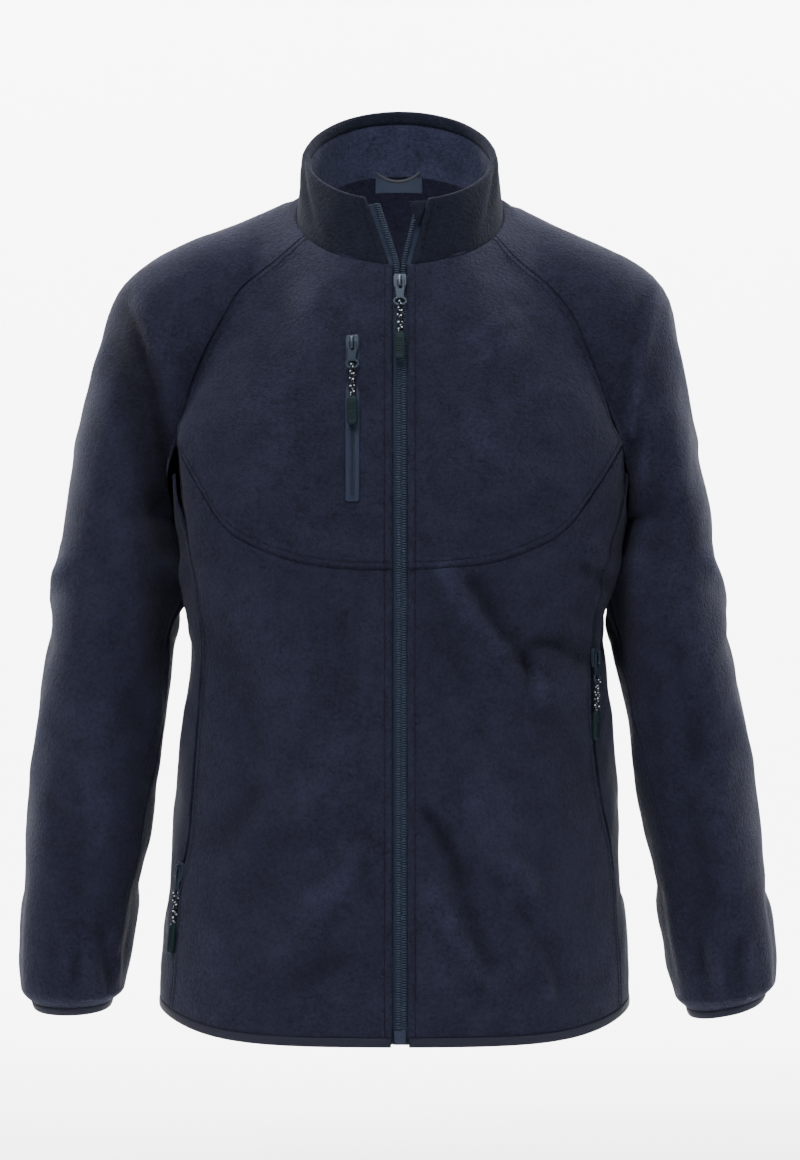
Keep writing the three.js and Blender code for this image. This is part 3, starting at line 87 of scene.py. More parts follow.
SLEEVE = {
    "right": table("x z half deep mid",
                   (-20, -19, 42, 46, 4), (-62, -35, 46, 52, 6), (-108, -58, 50, 60, 8),
                   (-147, -82, 60.5, 67, 8), (-178, -108, 67, 70, 7), (-196, -137, 56.4, 70, 6),
                   (-208, -172, 51.8, 69, 5), (-220.6, -215, 51.4, 68, 5), (-231.9, -252, 45.3, 68, 4),
                   (-231.8, -282, 50.7, 68, 3), (-232.5, -311, 53.9, 68, 2), (-236, -344, 52.5, 66, 1),
                   (-245.7, -410, 53, 62, 0), (-254.1, -477, 50.6, 58, 1), (-261.9, -543, 49.4, 54, 2),
                   (-269.6, -610, 46.8, 49, 4), (-272, -643, 44, 44, 5), (-272, -668, 39, 39, 6)),
    "left": table("x z half deep mid",
                  (18, -19, 42, 46, 4), (54, -35, 46, 52, 6), (97, -57, 50, 60, 8),
                  (133, -82, 60, 67, 8), (165, -108, 66, 70, 7), (181, -137, 53.6, 70, 7),
                  (190, -172, 49.4, 69, 7), (204, -215, 46.4, 68, 7), (222.3, -252, 35.6, 68, 6),
                  (221.4, -282, 39.8, 68, 4), (220.4, -311, 45, 69, 2), (222, -344, 49.4, 68, 1),
                  (233.6, -410, 47.7, 64, 0), (244, -477, 47.3, 58, 1), (254.4, -543, 46.1, 54, 2),
                  (265.8, -610, 46, 49, 4), (270.3, -643, 43.2, 44, 5), (271.5, -668, 38.5, 39, 6)),
}
print("sections: body", len(BODY["z"]), "and each sleeve", len(SLEEVE["right"]["z"]))

# %% [markdown]
# The seams are drawn on the front view, as x and z. A raglan seam runs from the collar to the
# underarm, a side seam goes on from there to the hem, and the chest seam hangs between the two
# raglan seams like a U.

# %% Tables of seams
RAGLAN_FRONT = {
    "right": table("x z", (-78, -25), (-104, -50), (-128, -70), (-143, -95),
                   (-163.4, -134), (-178, -176.6), (-183, -201), (-185, -224)),
    "left": table("x z", (78, -25), (98, -50), (121, -70), (138.6, -92),
                  (157, -134), (172, -176.6), (181, -201), (185, -224)),
}
RAGLAN_BACK = table("x z", (47, 32), (78, 5), (106, -40), (132, -90),
                    (153, -140), (171, -190), (184, -224))
SIDE_FRONT = {
    "right": table("x z", (-184, -228), (-171, -290), (-162, -366), (-164.3, -418),
                   (-168.4, -479), (-172, -519), (-178, -553), (-190, -690)),
    "left": table("x z", (184, -228), (170, -290), (158, -360), (157, -434),
                  (164, -488), (170, -519), (175, -559), (182, -690)),
}
SIDE_BACK = table("x z", (184, -228), (170, -290), (161, -366), (166, -479), (172, -553), (182, -690))
CHEST_SEAM = table("x z", (-183, -201), (-158, -243), (-140, -269), (-112.5, -286), (-79.6, -297),
                   (-45.4, -302), (-6, -303), (6, -303), (39, -301), (74, -297), (109, -285),
                   (133, -270), (156, -240), (181, -201))
RAGLAN_STEPS = 15      # a sleeve's measure from the collar to the underarm
CHEST_STEP = 10        # the chest seam meets the raglan seam here
SIDE_STEP = 12         # the side panel starts here
CHEST_MEETS, SIDE_MEETS = -201.0, -224.0
ARMPIT_AT = {"right": 7.9, "left": 7.97}
CUFF_AT = 16.66        # where the sleeve's cloth ends, in rows of its table
SEAM_TWIST = {"right": 2.3, "left": 1.62}   # turn of the sleeve seam at the cuff
CUFF_FROM = 0.95       # where a lower sleeve starts to narrow, as a share of its length
CUFF_DRAWN = 0.82      # share of its width that is left at the end
CUFF_MIDDLE = 4.0      # depth of the point that it is drawn in to
CUFF_DIP = 5.0         # how far a cuff hangs lower in front
CUFF_TILT = {"right": 0.0, "left": 6.0}     # how far it tilts up outside
SIGN = {"right": -1, "left": 1}             # of x, on the wearer's sides
print("rows of the raglan tables: front", len(RAGLAN_FRONT["right"]["z"]), "back", len(RAGLAN_BACK["z"]))

# %% [markdown]
# ## Small formulas
#
# `column` reads a table between its rows with a cubic curve that has the right slope at every
# row. `bulge` is the superellipse: with the power 2 the section is an ellipse, with 3 it is
# squarer. `soft_max` takes the larger of two heights and rounds the place where they meet, which
# is how a sleeve grows out of a shoulder without a dent.

# %% Small formulas
def mix(a, b, t):
    """From a, at t = 0, to b, at t = 1."""
    return a + (b - a) * t


def smooth(v, low, high):
    """Rises from 0 at low to 1 at high, flat at both ends: 3 t^2 - 2 t^3."""
    t = np.clip((v - low) / (high - low), 0, 1)
    return t * t * (3 - 2 * t)


def column(rows, name, at, key="z"):
    """Cubic Hermite curve through a table's column; slopes come from the neighbouring rows."""
    order = np.argsort(rows[key])
    k, v = rows[key][order], rows[name][order]
    wide = np.diff(k)
    slope = np.empty_like(v)
    slope[1:-1] = (v[2:] - v[:-2]) / (k[2:] - k[:-2])
    slope[0], slope[-1] = (v[1] - v[0]) / wide[0], (v[-1] - v[-2]) / wide[-1]
    at = np.clip(at, k[0], k[-1])
    i = np.clip(np.searchsorted(k, at, side="right") - 1, 0, len(k) - 2)
    t = (at - k[i]) / wide[i]
    return ((2 * t**3 - 3 * t**2 + 1) * v[i] + (t**3 - 2 * t**2 + t) * wide[i] * slope[i]
            + (3 * t**2 - 2 * t**3) * v[i + 1] + (t**3 - t**2) * wide[i] * slope[i + 1])


def signed_power(v, p):
    """The power of the size of v, with the sign of v."""
    return np.sign(v) * np.abs(v) ** p


def bulge(e, n):
    """Height of a superellipse of half width 1 and power n over the place e."""
    return signed_power(1 - np.abs(e) ** n, 1 / n)


def soft_max(a, b, k):
    """The larger of a and b, raised by (k - |a - b|)^2 / 4k where they are closer than k."""
    near = np.maximum(k - np.abs(a - b), 0)
    return np.maximum(a, b) + near * near / (4 * k)


def bell(d, at, wide):
    """A bell of height 1 round the place at: exp(-((d - at) / wide)^2)."""
    return np.exp(-((d - at) / wide) ** 2)


def unit(v):
    """Vectors of length 1."""
    return v / np.maximum(np.linalg.norm(v, axis=-1, keepdims=True), 1e-9)


def lengths_along(path):
    """How far along a line each of its points lies."""
    return np.concatenate([[0], np.cumsum(np.linalg.norm(np.diff(path, axis=0), axis=1))])


def at_length(at, lengths, values):
    """Vectors read between the points of a line, at the lengths at."""
    return np.stack([np.interp(at, lengths, values[:, k]) for k in range(values.shape[1])], -1)


print("a section of power 2.5, halfway out, is", round(float(bulge(0.5, 2.5)), 3), "of its depth")

# %% [markdown]
# ## The garment's form
#
# A sleeve has a middle line in the front view. For any point of that view we can ask how far
# along the sleeve it lies and how far out from the middle line. The depth of the sleeve there,
# joined softly with the depth of the body, gives the cloth's surface: `front_y(x, z)` and
# `back_y(x, z)`.

# %% Form of body and sleeves
FADE, FADE_STEEP = 20, 5   # the blend of sleeve and body ends this far round the underarm, and how fast


def sleeve_line(side):
    """The middle line in fine steps, with n, the outward direction across it."""
    rows = dict(SLEEVE[side], at=np.arange(len(SLEEVE[side]["x"]), dtype=float))
    at = np.arange((len(rows["at"]) - 1) * 8 + 1) / 8
    line = {name: column(rows, name, at, "at") for name in ("x", "z", "half", "deep", "mid")}
    dx, dz = np.gradient(line["x"]), np.gradient(line["z"])
    long = np.hypot(dx, dz)
    return dict(line, at=at, nx=-SIGN[side] * dz / long, nz=SIGN[side] * dx / long)


LINES = {side: sleeve_line(side) for side in SIGN}


def sleeve_at(side, at):
    """The sleeve's section at a place along it, in rows of the table."""
    line = LINES[side]
    return {name: np.interp(at, line["at"], line[name]) for name in line}


def on_sleeve(side, x, z):
    """The nearest place on the middle line, and the share of the half width out from it."""
    line = LINES[side]
    ax, az = line["x"][:-1], line["z"][:-1]
    dx, dz = np.diff(line["x"]), np.diff(line["z"])
    px, pz = x[..., None] - ax, z[..., None] - az
    t = np.clip((px * dx + pz * dz) / (dx * dx + dz * dz), 0, 1)
    gap = np.hypot(px - t * dx, pz - t * dz)
    i = np.argmin(gap, axis=-1)
    near = np.take_along_axis(gap, i[..., None], -1)[..., 0]
    t = np.take_along_axis(t, i[..., None], -1)[..., 0]
    s = sleeve_at(side, line["at"][i] + t / 8)
    out = (x - s["x"]) * s["nx"] + (z - s["z"]) * s["nz"]
    return dict(s, share=np.sign(out) * near / s["half"])


def body_depth(x, z, front):
    """Depth of the body alone in front of (or behind) its middle plane."""
    half = np.where(x < 0, column(BODY, "right", z), column(BODY, "left", z))
    return column(BODY, "front" if front else "back", z) * bulge(x / half, column(BODY, "square", z))


def blend_at(z):
    """How softly sleeve and body meet: 4 mm under the arm, 38 mm on the shoulder."""
    return mix(4, 38, smooth(z, -235, -70))


def shell_depth(x, z, front):
    """Depth of body and sleeve together; the sleeve fades out below the underarm."""
    x, z = np.broadcast_arrays(np.asarray(x, float), np.asarray(z, float))
    body = body_depth(x, z, front)
    sleeve = np.full(x.shape, -1e3)
    for side, sign in SIGN.items():
        pick = (np.where(x < 0, -1, 1) == sign) & (z > UNDERARM - FADE)
        if pick.any():
            s = on_sleeve(side, x[pick], z[pick])
            sleeve[pick] = (s["deep"] * bulge(s["share"], SLEEVE_ROUND)
                            + np.where(front, -s["mid"], s["mid"]))
    past = np.maximum(UNDERARM + FADE - z, 0) * FADE_STEEP
    return soft_max(body, sleeve - past, blend_at(z))


def front_y(x, z):
    """The cloth's front face: y over a place of the front view."""
    return -shell_depth(x, z, True)


def back_y(x, z):
    """The cloth's back face."""
    return shell_depth(x, z, False)


def point(x, y, z):
    """Points from three coordinates, which may be arrays or single numbers."""
    return np.stack(np.broadcast_arrays(x, y, z), -1).astype(float)


def sleeve_point(side, at, turn):
    """A point of a sleeve: turn 0 is its outer edge, a quarter turn the front."""
    s = sleeve_at(side, at)
    across = s["half"] * signed_power(np.cos(turn), 2 / SLEEVE_ROUND)
    x, z = s["x"] + s["nx"] * across, s["z"] + s["nz"] * across
    front = np.sin(turn) > 0
    share = np.abs(np.sin(turn))
    own = s["deep"] * share ** (2 / SLEEVE_ROUND) + np.where(front, -s["mid"], s["mid"])
    past = np.maximum(UNDERARM + FADE - z, 0) * FADE_STEEP
    body = np.where(front, body_depth(x, z, True), body_depth(x, z, False))
    both = mix(own, soft_max(own, body - past, blend_at(z)), np.sqrt(share))
    depth = np.where(z > UNDERARM - FADE, both, own)
    return point(x, np.where(front, -depth, depth), z)


print("sleeve lengths along the middle line, in mm:",
      {side: round(float(np.hypot(np.diff(l["x"]), np.diff(l["z"])).sum())) for side, l in LINES.items()})

# %% [markdown]
# ## Neck, hem and seams
#
# The neck seam is a leaning ellipse. The sleeves are laid out as C-shaped patches that run from
# the front raglan seam over the shoulder to the back one; below the underarm they close to a
# tube. `along` counts 0 at the collar, 15 at the underarm; `w` goes from 0 at the front seam to
# 1 at the back seam.

# %% Neck, hem and seams
NECK = {"half": 85.5, "mid_y": -12, "deep": 80, "front_z": -57, "lean": 0.594}
RIM = {"half": 80, "mid_y": -11.5, "deep": 74, "front_z": -4, "lean": 0.608}


def ring_point(ring, turn):
    """A leaning ellipse: turn 0 is the middle of the back, half a turn is the front."""
    y = ring["mid_y"] + ring["deep"] * np.cos(turn)
    z = ring["front_z"] + ring["lean"] * (y - ring["mid_y"] + ring["deep"])
    return point(ring["half"] * np.sin(turn), y, z)


def turn_of(ring, x, back):
    """The turn of the ring's point that lies over x, at its back or at its front."""
    s = np.arcsin(np.abs(x) / ring["half"])
    return np.sign(x) * (s if back else pi - s)


def hem_z(x, front):
    """The hem hangs lowest in the middle and rises near the side seams."""
    half = np.where(x < 0, column(BODY, "right", -660.0), column(BODY, "left", -660.0))
    share = np.minimum(np.abs(x / half), 1) ** 5.5
    return mix(HEM_FRONT if front else HEM_BACK, HEM_SIDE, share)


def cloth_hem(x, front):
    """Where the cloth ends, above the hem binding."""
    return hem_z(x, front) + BAND_HIGH + SEAM_GAP


def seam_height(along, top):
    """Height of a raglan seam: even steps to the chest seam, then to the side panel."""
    high = mix(top, CHEST_MEETS, along / CHEST_STEP)
    low = mix(CHEST_MEETS, SIDE_MEETS, (along - CHEST_STEP) / (SIDE_STEP - CHEST_STEP))
    return np.where(along <= CHEST_STEP, high, low)


def raglan_rows(side, front, along):
    """The raglan seam in the sleeve's own measure: place along it and turn round it."""
    rows = RAGLAN_FRONT[side] if front else dict(RAGLAN_BACK, x=SIGN[side] * RAGLAN_BACK["x"])

    def on_seam(a):
        """The seam as place along the sleeve and turn round it."""
        z = seam_height(a, rows["z"][0])
        s = on_sleeve(side, column(rows, "x", z), z)
        return s["at"], np.arccos(signed_power(np.clip(s["share"], -1, 1), SLEEVE_ROUND / 2))
    at, turn = on_seam(np.minimum(along, SIDE_STEP))
    last_at, last_turn = on_seam(np.array(float(SIDE_STEP)))
    t = np.clip((along - SIDE_STEP) / (RAGLAN_STEPS - SIDE_STEP), 0, 1)
    at = np.where(along > SIDE_STEP, mix(last_at, ARMPIT_AT[side], t**0.8), at)
    turn = np.where(along > SIDE_STEP, mix(last_turn, pi, t), turn)
    return at, turn if front else -turn


def sleeve_upper(side, along, w):
    """Rows of a sleeve above the underarm; along and w are 1-D arrays."""
    sign = SIGN[side]

    def plain(a):
        """The rows before they are drawn to their neighbours."""
        at0, turn0 = raglan_rows(side, True, a)
        at1, turn1 = raglan_rows(side, False, a)
        grid = sleeve_point(side, mix(at0[:, None], at1[:, None], w), mix(turn0[:, None], turn1[:, None], w))
        hold = np.clip(SIDE_STEP + 1 - a, 0, 1)[:, None, None]
        edge = np.minimum(a, SIDE_STEP)
        for rows, flip, depth, pull in ((RAGLAN_FRONT[side], 1, front_y, (1 - w) ** 4),
                                        (RAGLAN_BACK, sign, back_y, w**4)):
            z = seam_height(edge, rows["z"][0])
            x = flip * column(rows, "x", z)
            e_at = raglan_rows(side, depth is front_y, edge)
            miss = point(x, depth(x, z), z) - sleeve_point(side, *e_at)
            grid = grid + hold * miss[:, None, :] * pull[None, :, None]
        return grid
    grid = plain(along)
    start = turn_of(NECK, RAGLAN_FRONT[side]["x"][0], False)
    end = turn_of(NECK, sign * RAGLAN_BACK["x"][0], True)
    miss = ring_point(NECK, mix(start, end, w)) - plain(np.zeros(1))[0]
    return grid + (np.clip(1 - along / 5, 0, 1) ** 2)[:, None, None] * miss


def sleeve_lower(side, t, w):
    """Rows from the underarm, t = 0, to the cuff, t = 1, which dips at the front and may tilt."""
    at = mix(ARMPIT_AT[side], CUFF_AT, t)[:, None] + 0 * w
    turn = mix(pi, SEAM_TWIST[side], t**1.5)[:, None] - w * 2 * pi
    grid = sleeve_point(side, at, turn)
    # the elastic binding draws the last few centimetres in round the middle line
    s = sleeve_at(side, at)
    draw = 1 - (1 - CUFF_DRAWN) * smooth(t, CUFF_FROM, 1.0)[:, None] ** 1.4
    grid[..., 0] = mix(s["x"], grid[..., 0], draw)
    grid[..., 1] = mix(CUFF_MIDDLE, grid[..., 1], draw)
    dip = CUFF_DIP * np.maximum(np.sin(turn), 0)
    grid[..., 2] += (t**8)[:, None] * (CUFF_TILT[side] * np.cos(turn) - dip)
    return grid


def raglan_edge(side, along, front=True):
    """The sleeve's border at the front or back raglan seam."""
    return sleeve_upper(side, np.atleast_1d(along).astype(float), np.array([0.0 if front else 1.0]))[:, 0]


def side_seam(side, front, t):
    """The side seam from the side panel's corner, t = 0, to the hem, t = 1."""
    rows = SIDE_FRONT[side] if front else dict(SIDE_BACK, x=SIGN[side] * SIDE_BACK["x"])
    end = cloth_hem(column(rows, "x", -655.0), front)
    start = raglan_edge(side, SIDE_STEP, front)[0]
    z = mix(start[2], end, t)
    x = column(rows, "x", z)
    p = point(x, front_y(x, z) if front else back_y(x, z), z)
    fade = (np.maximum(1 - t * 5, 0) ** 2)[:, None]
    p[:, :2] += fade * (start[:2] - p[:, :2])
    return p


for side in SIGN:
    edge = raglan_edge(side, np.linspace(0, 12, 60))
    print(side, "front raglan seam, mm:", round(float(lengths_along(edge)[-1])))

# %% [markdown]
# ## Panels between seams
#
# A body panel is a patch between four border curves (a Coons patch): the average of the two ways
# to rule it, less the part counted twice. That gives x and z; the depth then comes from the
# garment's form, and a small miss along the borders fades out inwards.

# %% Panels between seams
EDGE_LOW = ZIP_HALF + 2.5   # at the neck the front edges lie this far from the middle


def patch(top, bottom, inner, outer, u, v, depth):
    """Points of a Coons patch laid on the form; u runs along top, v along inner."""
    uu, vv = u[None, :, None], v[:, None, None]
    flat = (mix(top[None], bottom[None], vv) + mix(inner[:, None], outer[:, None], uu)
            - mix(mix(top[0], top[-1], uu), mix(bottom[0], bottom[-1], uu), vv))
    x, z = flat[..., 0], flat[..., 2]
    y = depth(x, z)

    def miss(p):
        """How far a border lies behind the surface."""
        return p[..., 1] - depth(p[..., 0], p[..., 2])
    a, b = (1 - v[:, None]) ** 4, v[:, None] ** 4
    e, f = (1 - u[None]) ** 4, u[None] ** 4
    m_top, m_bottom, m_in, m_out = miss(top), miss(bottom), miss(inner), miss(outer)
    y = (y + a * m_top[None] + b * m_bottom[None] + e * m_in[:, None] + f * m_out[:, None]
         - a * e * m_top[0] - a * f * m_top[-1] - b * e * m_bottom[0] - b * f * m_bottom[-1])
    return point(x, y, z)


def chest_seam(side, u):
    """The chest seam from the zip, u = 0, to the raglan seam, u = 1."""
    end = raglan_edge(side, CHEST_STEP)[0]
    x = mix(SIGN[side] * ZIP_HALF, end[0], u)
    z = column(CHEST_SEAM, "z", x, "x")
    p = point(x, front_y(x, z), z)
    p[-1] = end
    return p


def chest_grid(side, u, v):
    """A chest panel between neck, zip, chest seam and raglan seam."""
    sign = SIGN[side]
    low = chest_seam(side, u)
    raglan = raglan_edge(side, v * CHEST_STEP)
    start = turn_of(NECK, sign * EDGE_LOW, False)
    neck = ring_point(NECK, mix(start, turn_of(NECK, raglan[0, 0], False), u))
    neck[-1] = raglan[0]
    z = mix(neck[0, 2], low[0, 2], v)
    middle = point(sign * ZIP_HALF, front_y(sign * ZIP_HALF, z), z)
    middle[0], middle[-1] = neck[0], low[0]
    return patch(neck, low, middle, raglan, u, v, front_y)


FRONT_ROWS = 14        # the front's outer border: 2 parts armhole and 12 parts side seam
BACK_ROWS = 24         # the back's: 12 parts raglan seam and 12 parts side seam


def long_edge(side, front, s):
    """Border of a front or back panel: raglan seam for s < 12, then the side seam."""
    upper = raglan_edge(side, np.minimum(s, SIDE_STEP), front)
    lower = side_seam(side, front, np.clip((s - SIDE_STEP) / 12, 0, 1))
    return np.where((s < SIDE_STEP)[:, None], upper, lower)


def front_grid(side, u, v):
    """A front between chest seam, zip, hem and side seam."""
    sign = SIGN[side]
    top = chest_seam(side, u)
    outer = long_edge(side, True, CHEST_STEP + v * FRONT_ROWS)
    z = mix(top[0, 2], cloth_hem(sign * ZIP_HALF, True), v)
    inner = point(sign * ZIP_HALF, front_y(sign * ZIP_HALF, z), z)
    x = mix(inner[-1, 0], outer[-1, 0], u)
    z = cloth_hem(x, True)
    bottom = point(x, front_y(x, z), z)
    bottom[-1] = outer[-1]
    return patch(top, bottom, inner, outer, u, v, front_y)


def back_grid(u, v):
    """The back between neck, hem and both long borders."""
    right, left = long_edge("right", False, v * BACK_ROWS), long_edge("left", False, v * BACK_ROWS)
    top = ring_point(NECK, mix(turn_of(NECK, right[0, 0], True), turn_of(NECK, left[0, 0], True), u))
    x = mix(right[-1, 0], left[-1, 0], u)
    z = cloth_hem(x, False)
    bottom = point(x, back_y(x, z), z)
    bottom[0], bottom[-1] = right[-1], left[-1]
    return patch(top, bottom, right, left, u, v, back_y)


def side_grid(side, u, v):
    """The side panel is laid from the side: x follows from y and z."""
    sign = SIGN[side]
    k = u * 6
    front_top = raglan_edge(side, SIDE_STEP + np.minimum(k, 3), True)
    back_top = raglan_edge(side, RAGLAN_STEPS - np.maximum(k - 3, 0), False)
    top = np.where((k <= 3)[:, None], front_top, back_top)
    front, back = side_seam(side, True, v), side_seam(side, False, v)

    def width(y, z):
        """Half width of the body at a place of the side view."""
        deep = np.where(y < 0, column(BODY, "front", z), column(BODY, "back", z))
        n = column(BODY, "square", z)
        return column(BODY, side, z) * np.maximum(1 - np.abs(y / deep) ** n, 0.001) ** (1 / n)
    uu, vv = u[None, :], v[:, None]
    fade = np.maximum(1 - vv * 7, 0) ** 2
    y = mix(front[:, None, 1], back[:, None, 1], uu)
    z_edge = mix(front[:, None, 2], back[:, None, 2], uu)
    z = mix(z_edge, HEM_SIDE + BAND_HIGH + SEAM_GAP, 4 * uu * (1 - uu) * vv**3)
    z = z + fade * (top[None, :, 2] - mix(top[0, 2], top[-1, 2], uu))
    y = y + fade * (top[None, :, 1] - mix(top[0, 1], top[-1, 1], uu))
    edge = mix((np.abs(front[:, 0]) - width(front[:, 1], front[:, 2]))[:, None],
               (np.abs(back[:, 0]) - width(back[:, 1], back[:, 2]))[:, None], uu)
    top_miss = (np.abs(top[:, 0]) - width(top[:, 1], top[:, 2]))[None]
    grid = point(sign * (width(y, z) + edge + fade * (top_miss - edge)), y, z)
    grid[0] = top
    return grid


corner = side_seam("right", True, np.array([0.0]))[0]
print("the right side panel's front corner, mm:", corner.round(1))

# %% [markdown]
# ## Folds
#
# A fold is a soft ridge or hollow along a bowed line. Its height falls off like a bell across
# the line, and its ends fade. Each row of the table is one fold, as seen from the front or from
# the back: where it starts and ends, how far its middle bows sideways, its half width and its
# height (a hollow is below zero). Besides the folds, the cloth is never quite even: a few long
# waves of different directions add up to a slow swell of less than a millimetre.

# %% Folds
FOLDS = "x0 z0 x1 z1 bow wide high"
FRONT_FOLDS = table(
    FOLDS,
    # the wearer's right shoulder hangs over the arm: a crease with a long slope outside it
    (-227, -84, -180, -344, 16, 7, -5), (-238, -100, -192, -380, 16, 14, -5),
    (-213, -86, -176, -196, 6, 8, 1.8), (-232, -350, -238, -430, 4, 14, 1.4),
    # the wearer's left shoulder: a narrow ridge down to the armhole, then a hollow beside a ridge
    (209, -68, 188, -190, -2, 4.5, 3.6), (198, -84, 180, -180, -1, 8, -2),
    (193, -200, 178, -352, -5, 8, -3), (203, -180, 192, -320, -3, 6, 2.2),
    (213, -214, 212, -300, -1, 9, -1.8), (224, -92, 226, -240, 3, 12, 1.3),
    # chest
    (60, -118, 92, -100, 2, 8, 1.6), (66, -134, 96, -120, 2, 7, 1.3), (90, -76, 106, -88, 1, 8, 1.4),
    (120, -158, 146, -170, 2, 9, 1.8), (60, -196, 120, -222, -4, 14, 1.2),
    (74, -148, 92, -160, 1, 9, -1.3), (100, -230, 140, -240, 2, 11, 1.2),
    (-96, -76, -110, -128, 3, 12, -1.4), (-70, -92, -80, -140, 2, 12, 1.3),
    (-52, -100, -50, -136, 1, 8, -1), (-120, -150, -108, -220, 4, 18, 1.4),
    (-74, -170, -60, -240, 2, 16, -1.2),
    # waist, wearer's left
    (36, -306, 80, -364, -3, 8, 4.6), (60, -318, 106, -386, -3, 9, -4.6),
    (86, -374, 118, -402, -2, 7, 3), (110, -376, 111, -406, 0, 4.5, 3),
    (102, -370, 103, -398, 0, 4.5, -2.6), (112, -360, 148, -374, 2, 7, -3.2),
    (114, -348, 140, -352, 2, 8, 1.8), (148, -284, 174, -300, 2, 6, 2.8),
    (150, -300, 172, -312, 2, 6, -3), (152, -318, 168, -330, 1, 5, 1.8),
    (22, -330, 48, -392, 3, 12, -1.8), (118, -420, 146, -480, 3, 14, -1.8),
    # hip, wearer's left
    (24, -500, 48, -548, 2, 7, -4.6), (60, -496, 98, -552, -3, 9, 3.6),
    (98, -552, 114, -586, -1, 8, 2.6), (64, -460, 88, -508, -2, 10, 2), (28, -560, 72, -632, -4, 8, 3.4),
    (50, -566, 84, -640, -3, 8, -3), (78, -626, 88, -664, 0, 6, 2.6), (117, -630, 120, -664, 0, 6, 2.8),
    (128, -636, 128, -664, 0, 5, -2.4), (100, -570, 124, -622, 2, 10, -2.4),
    (104, -636, 104, -662, 0, 5, -1.6), (14, -560, 22, -640, 2, 8, 1.6),
    (60, -636, 62, -664, 0, 6, -1.8), (36, -620, 40, -664, 0, 6, 1.4),
    # waist and hip, wearer's right
    (-52, -456, -78, -492, 3, 12, 2.4), (-120, -486, -140, -512, 2, 12, -3),
    (-92, -520, -120, -560, 4, 14, -1.8), (-38, -538, -68, -570, 3, 9, 2.8),
    (-68, -570, -86, -604, 2, 9, 2.2), (-60, -610, -96, -640, 4, 10, -2),
    (-38, -640, -78, -664, 3, 7, 2.6), (-64, -624, -40, -612, 2, 7, -1.8),
    (-130, -330, -96, -396, 5, 18, 1.8), (-150, -360, -118, -430, 5, 16, -2),
    (-56, -340, -48, -420, 2, 15, -1.3), (-150, -600, -140, -650, -2, 10, 1.6),
    (-112, -640, -108, -664, 1, 7, -1.4), (-30, -470, -26, -560, 0, 10, -1.2),
    # lower right arm
    (-262, -420, -242, -520, 5, 14, 2.4), (-230, -360, -216, -430, -3, 12, -2.6),
    (-278, -500, -262, -570, 3, 12, -2.2), (-256, -612, -246, -655, 0, 4.5, 3.6),
    (-264, -618, -270, -655, 0, 5, -3.4), (-245, -600, -238, -652, 1, 5, -2.6),
    (-285, -610, -281, -655, 1, 6, -1.8), (-234, -610, -228, -650, 1, 5, 2),
    # lower left arm
    (236, -330, 252, -420, -5, 14, 2.4), (226, -372, 240, -450, 4, 11, -3),
    (262, -470, 272, -560, -4, 12, 2.2), (238, -500, 250, -580, 3, 11, -2.6),
    (254, -606, 262, -655, 1, 5, 3.2), (276, -610, 278, -652, 0, 4.5, -2.6),
    (284, -612, 286, -652, 0, 4.5, 2.2), (246, -616, 250, -655, 0, 5, -2.6),
    (268, -624, 270, -655, 0, 4, -1.8))
BACK_FOLDS = table(
    FOLDS,
    (60, -296, 126, -368, -6, 14, -4.5), (40, -300, 96, -372, 5, 13, 3.6),
    (-112, -366, -34, -298, 6, 14, 4), (-136, -340, -74, -288, 4, 13, -4),
    (28, -500, 92, -596, 5, 15, 3.4), (-100, -596, -42, -500, 5, 14, -3.6),
    (-60, -610, -20, -520, 4, 12, 2.6), (-60, -100, -20, -170, 4, 22, 1.6),
    (50, -96, 30, -180, 3, 22, 1.6), (-228, -98, -192, -204, 6, 10, -6),
    (-212, -86, -180, -170, 5, 11, 3), (222, -98, 190, -204, -6, 10, -6),
    (206, -86, 178, -170, -5, 11, 3.2), (206, -230, 196, -320, 3, 11, 3),
    (-208, -230, -198, -320, 3, 11, 3), (-262, -400, -238, -500, 4, 13, 2.6),
    (-246, -560, -252, -640, 2, 9, -2.6), (240, -380, 262, -480, 4, 13, 2.6),
    (256, -560, 262, -640, 2, 9, -2.6), (120, -600, 124, -655, 2, 10, 1.6),
    (-124, -600, -130, -655, 2, 10, -1.8), (4, -560, 0, -650, 2, 14, 1.8))
# On the sides a fold is drawn as y and z.
SIDE_FOLDS = table(
    FOLDS,
    (-40, -300, 30, -352, 4, 12, 3.2), (36, -310, -24, -366, 4, 12, -3), (-30, -120, 10, -190, 4, 16, 2),
    (30, -130, 46, -210, 3, 13, -2.4), (-36, -420, 6, -520, 5, 15, 2.2), (34, -450, 8, -560, 5, 14, -2.4),
    (-14, -570, -8, -650, 2, 9, -2), (14, -580, 18, -650, 2, 9, 1.8), (46, -340, 40, -420, 2, 12, 2))
# Long waves: length in mm, direction in turns, phase in turns and height.
SWELL = table("long turn phase high", (150, 0.08, 0.1, 0.55), (96, 0.31, 0.6, 0.4), (64, 0.55, 0.3, 0.3),
              (47, 0.83, 0.85, 0.22), (33, 0.2, 0.45, 0.16), (24, 0.44, 0.2, 0.1))
FOLD_SCALE = 1.2       # all the folds together


def fold_height(folds, x, z):
    """Sum of bells exp(-(distance / wide)^2) round bowed lines."""
    high = np.zeros_like(x)
    for x0, z0, x1, z1, bow, wide, up in zip(*folds.values()):
        long = np.hypot(x1 - x0, z1 - z0)
        tx, tz = (x1 - x0) / long, (z1 - z0) / long
        s = ((x - x0) * tx + (z - z0) * tz) / long
        across = -(x - x0) * tz + (z - z0) * tx - 4 * bow * s * (1 - s)
        past = np.maximum(np.maximum(-s, s - 1), 0) * long
        high += up * np.exp(-(across / wide) ** 2 - (past / (1.3 * wide)) ** 2)
    return high * FOLD_SCALE


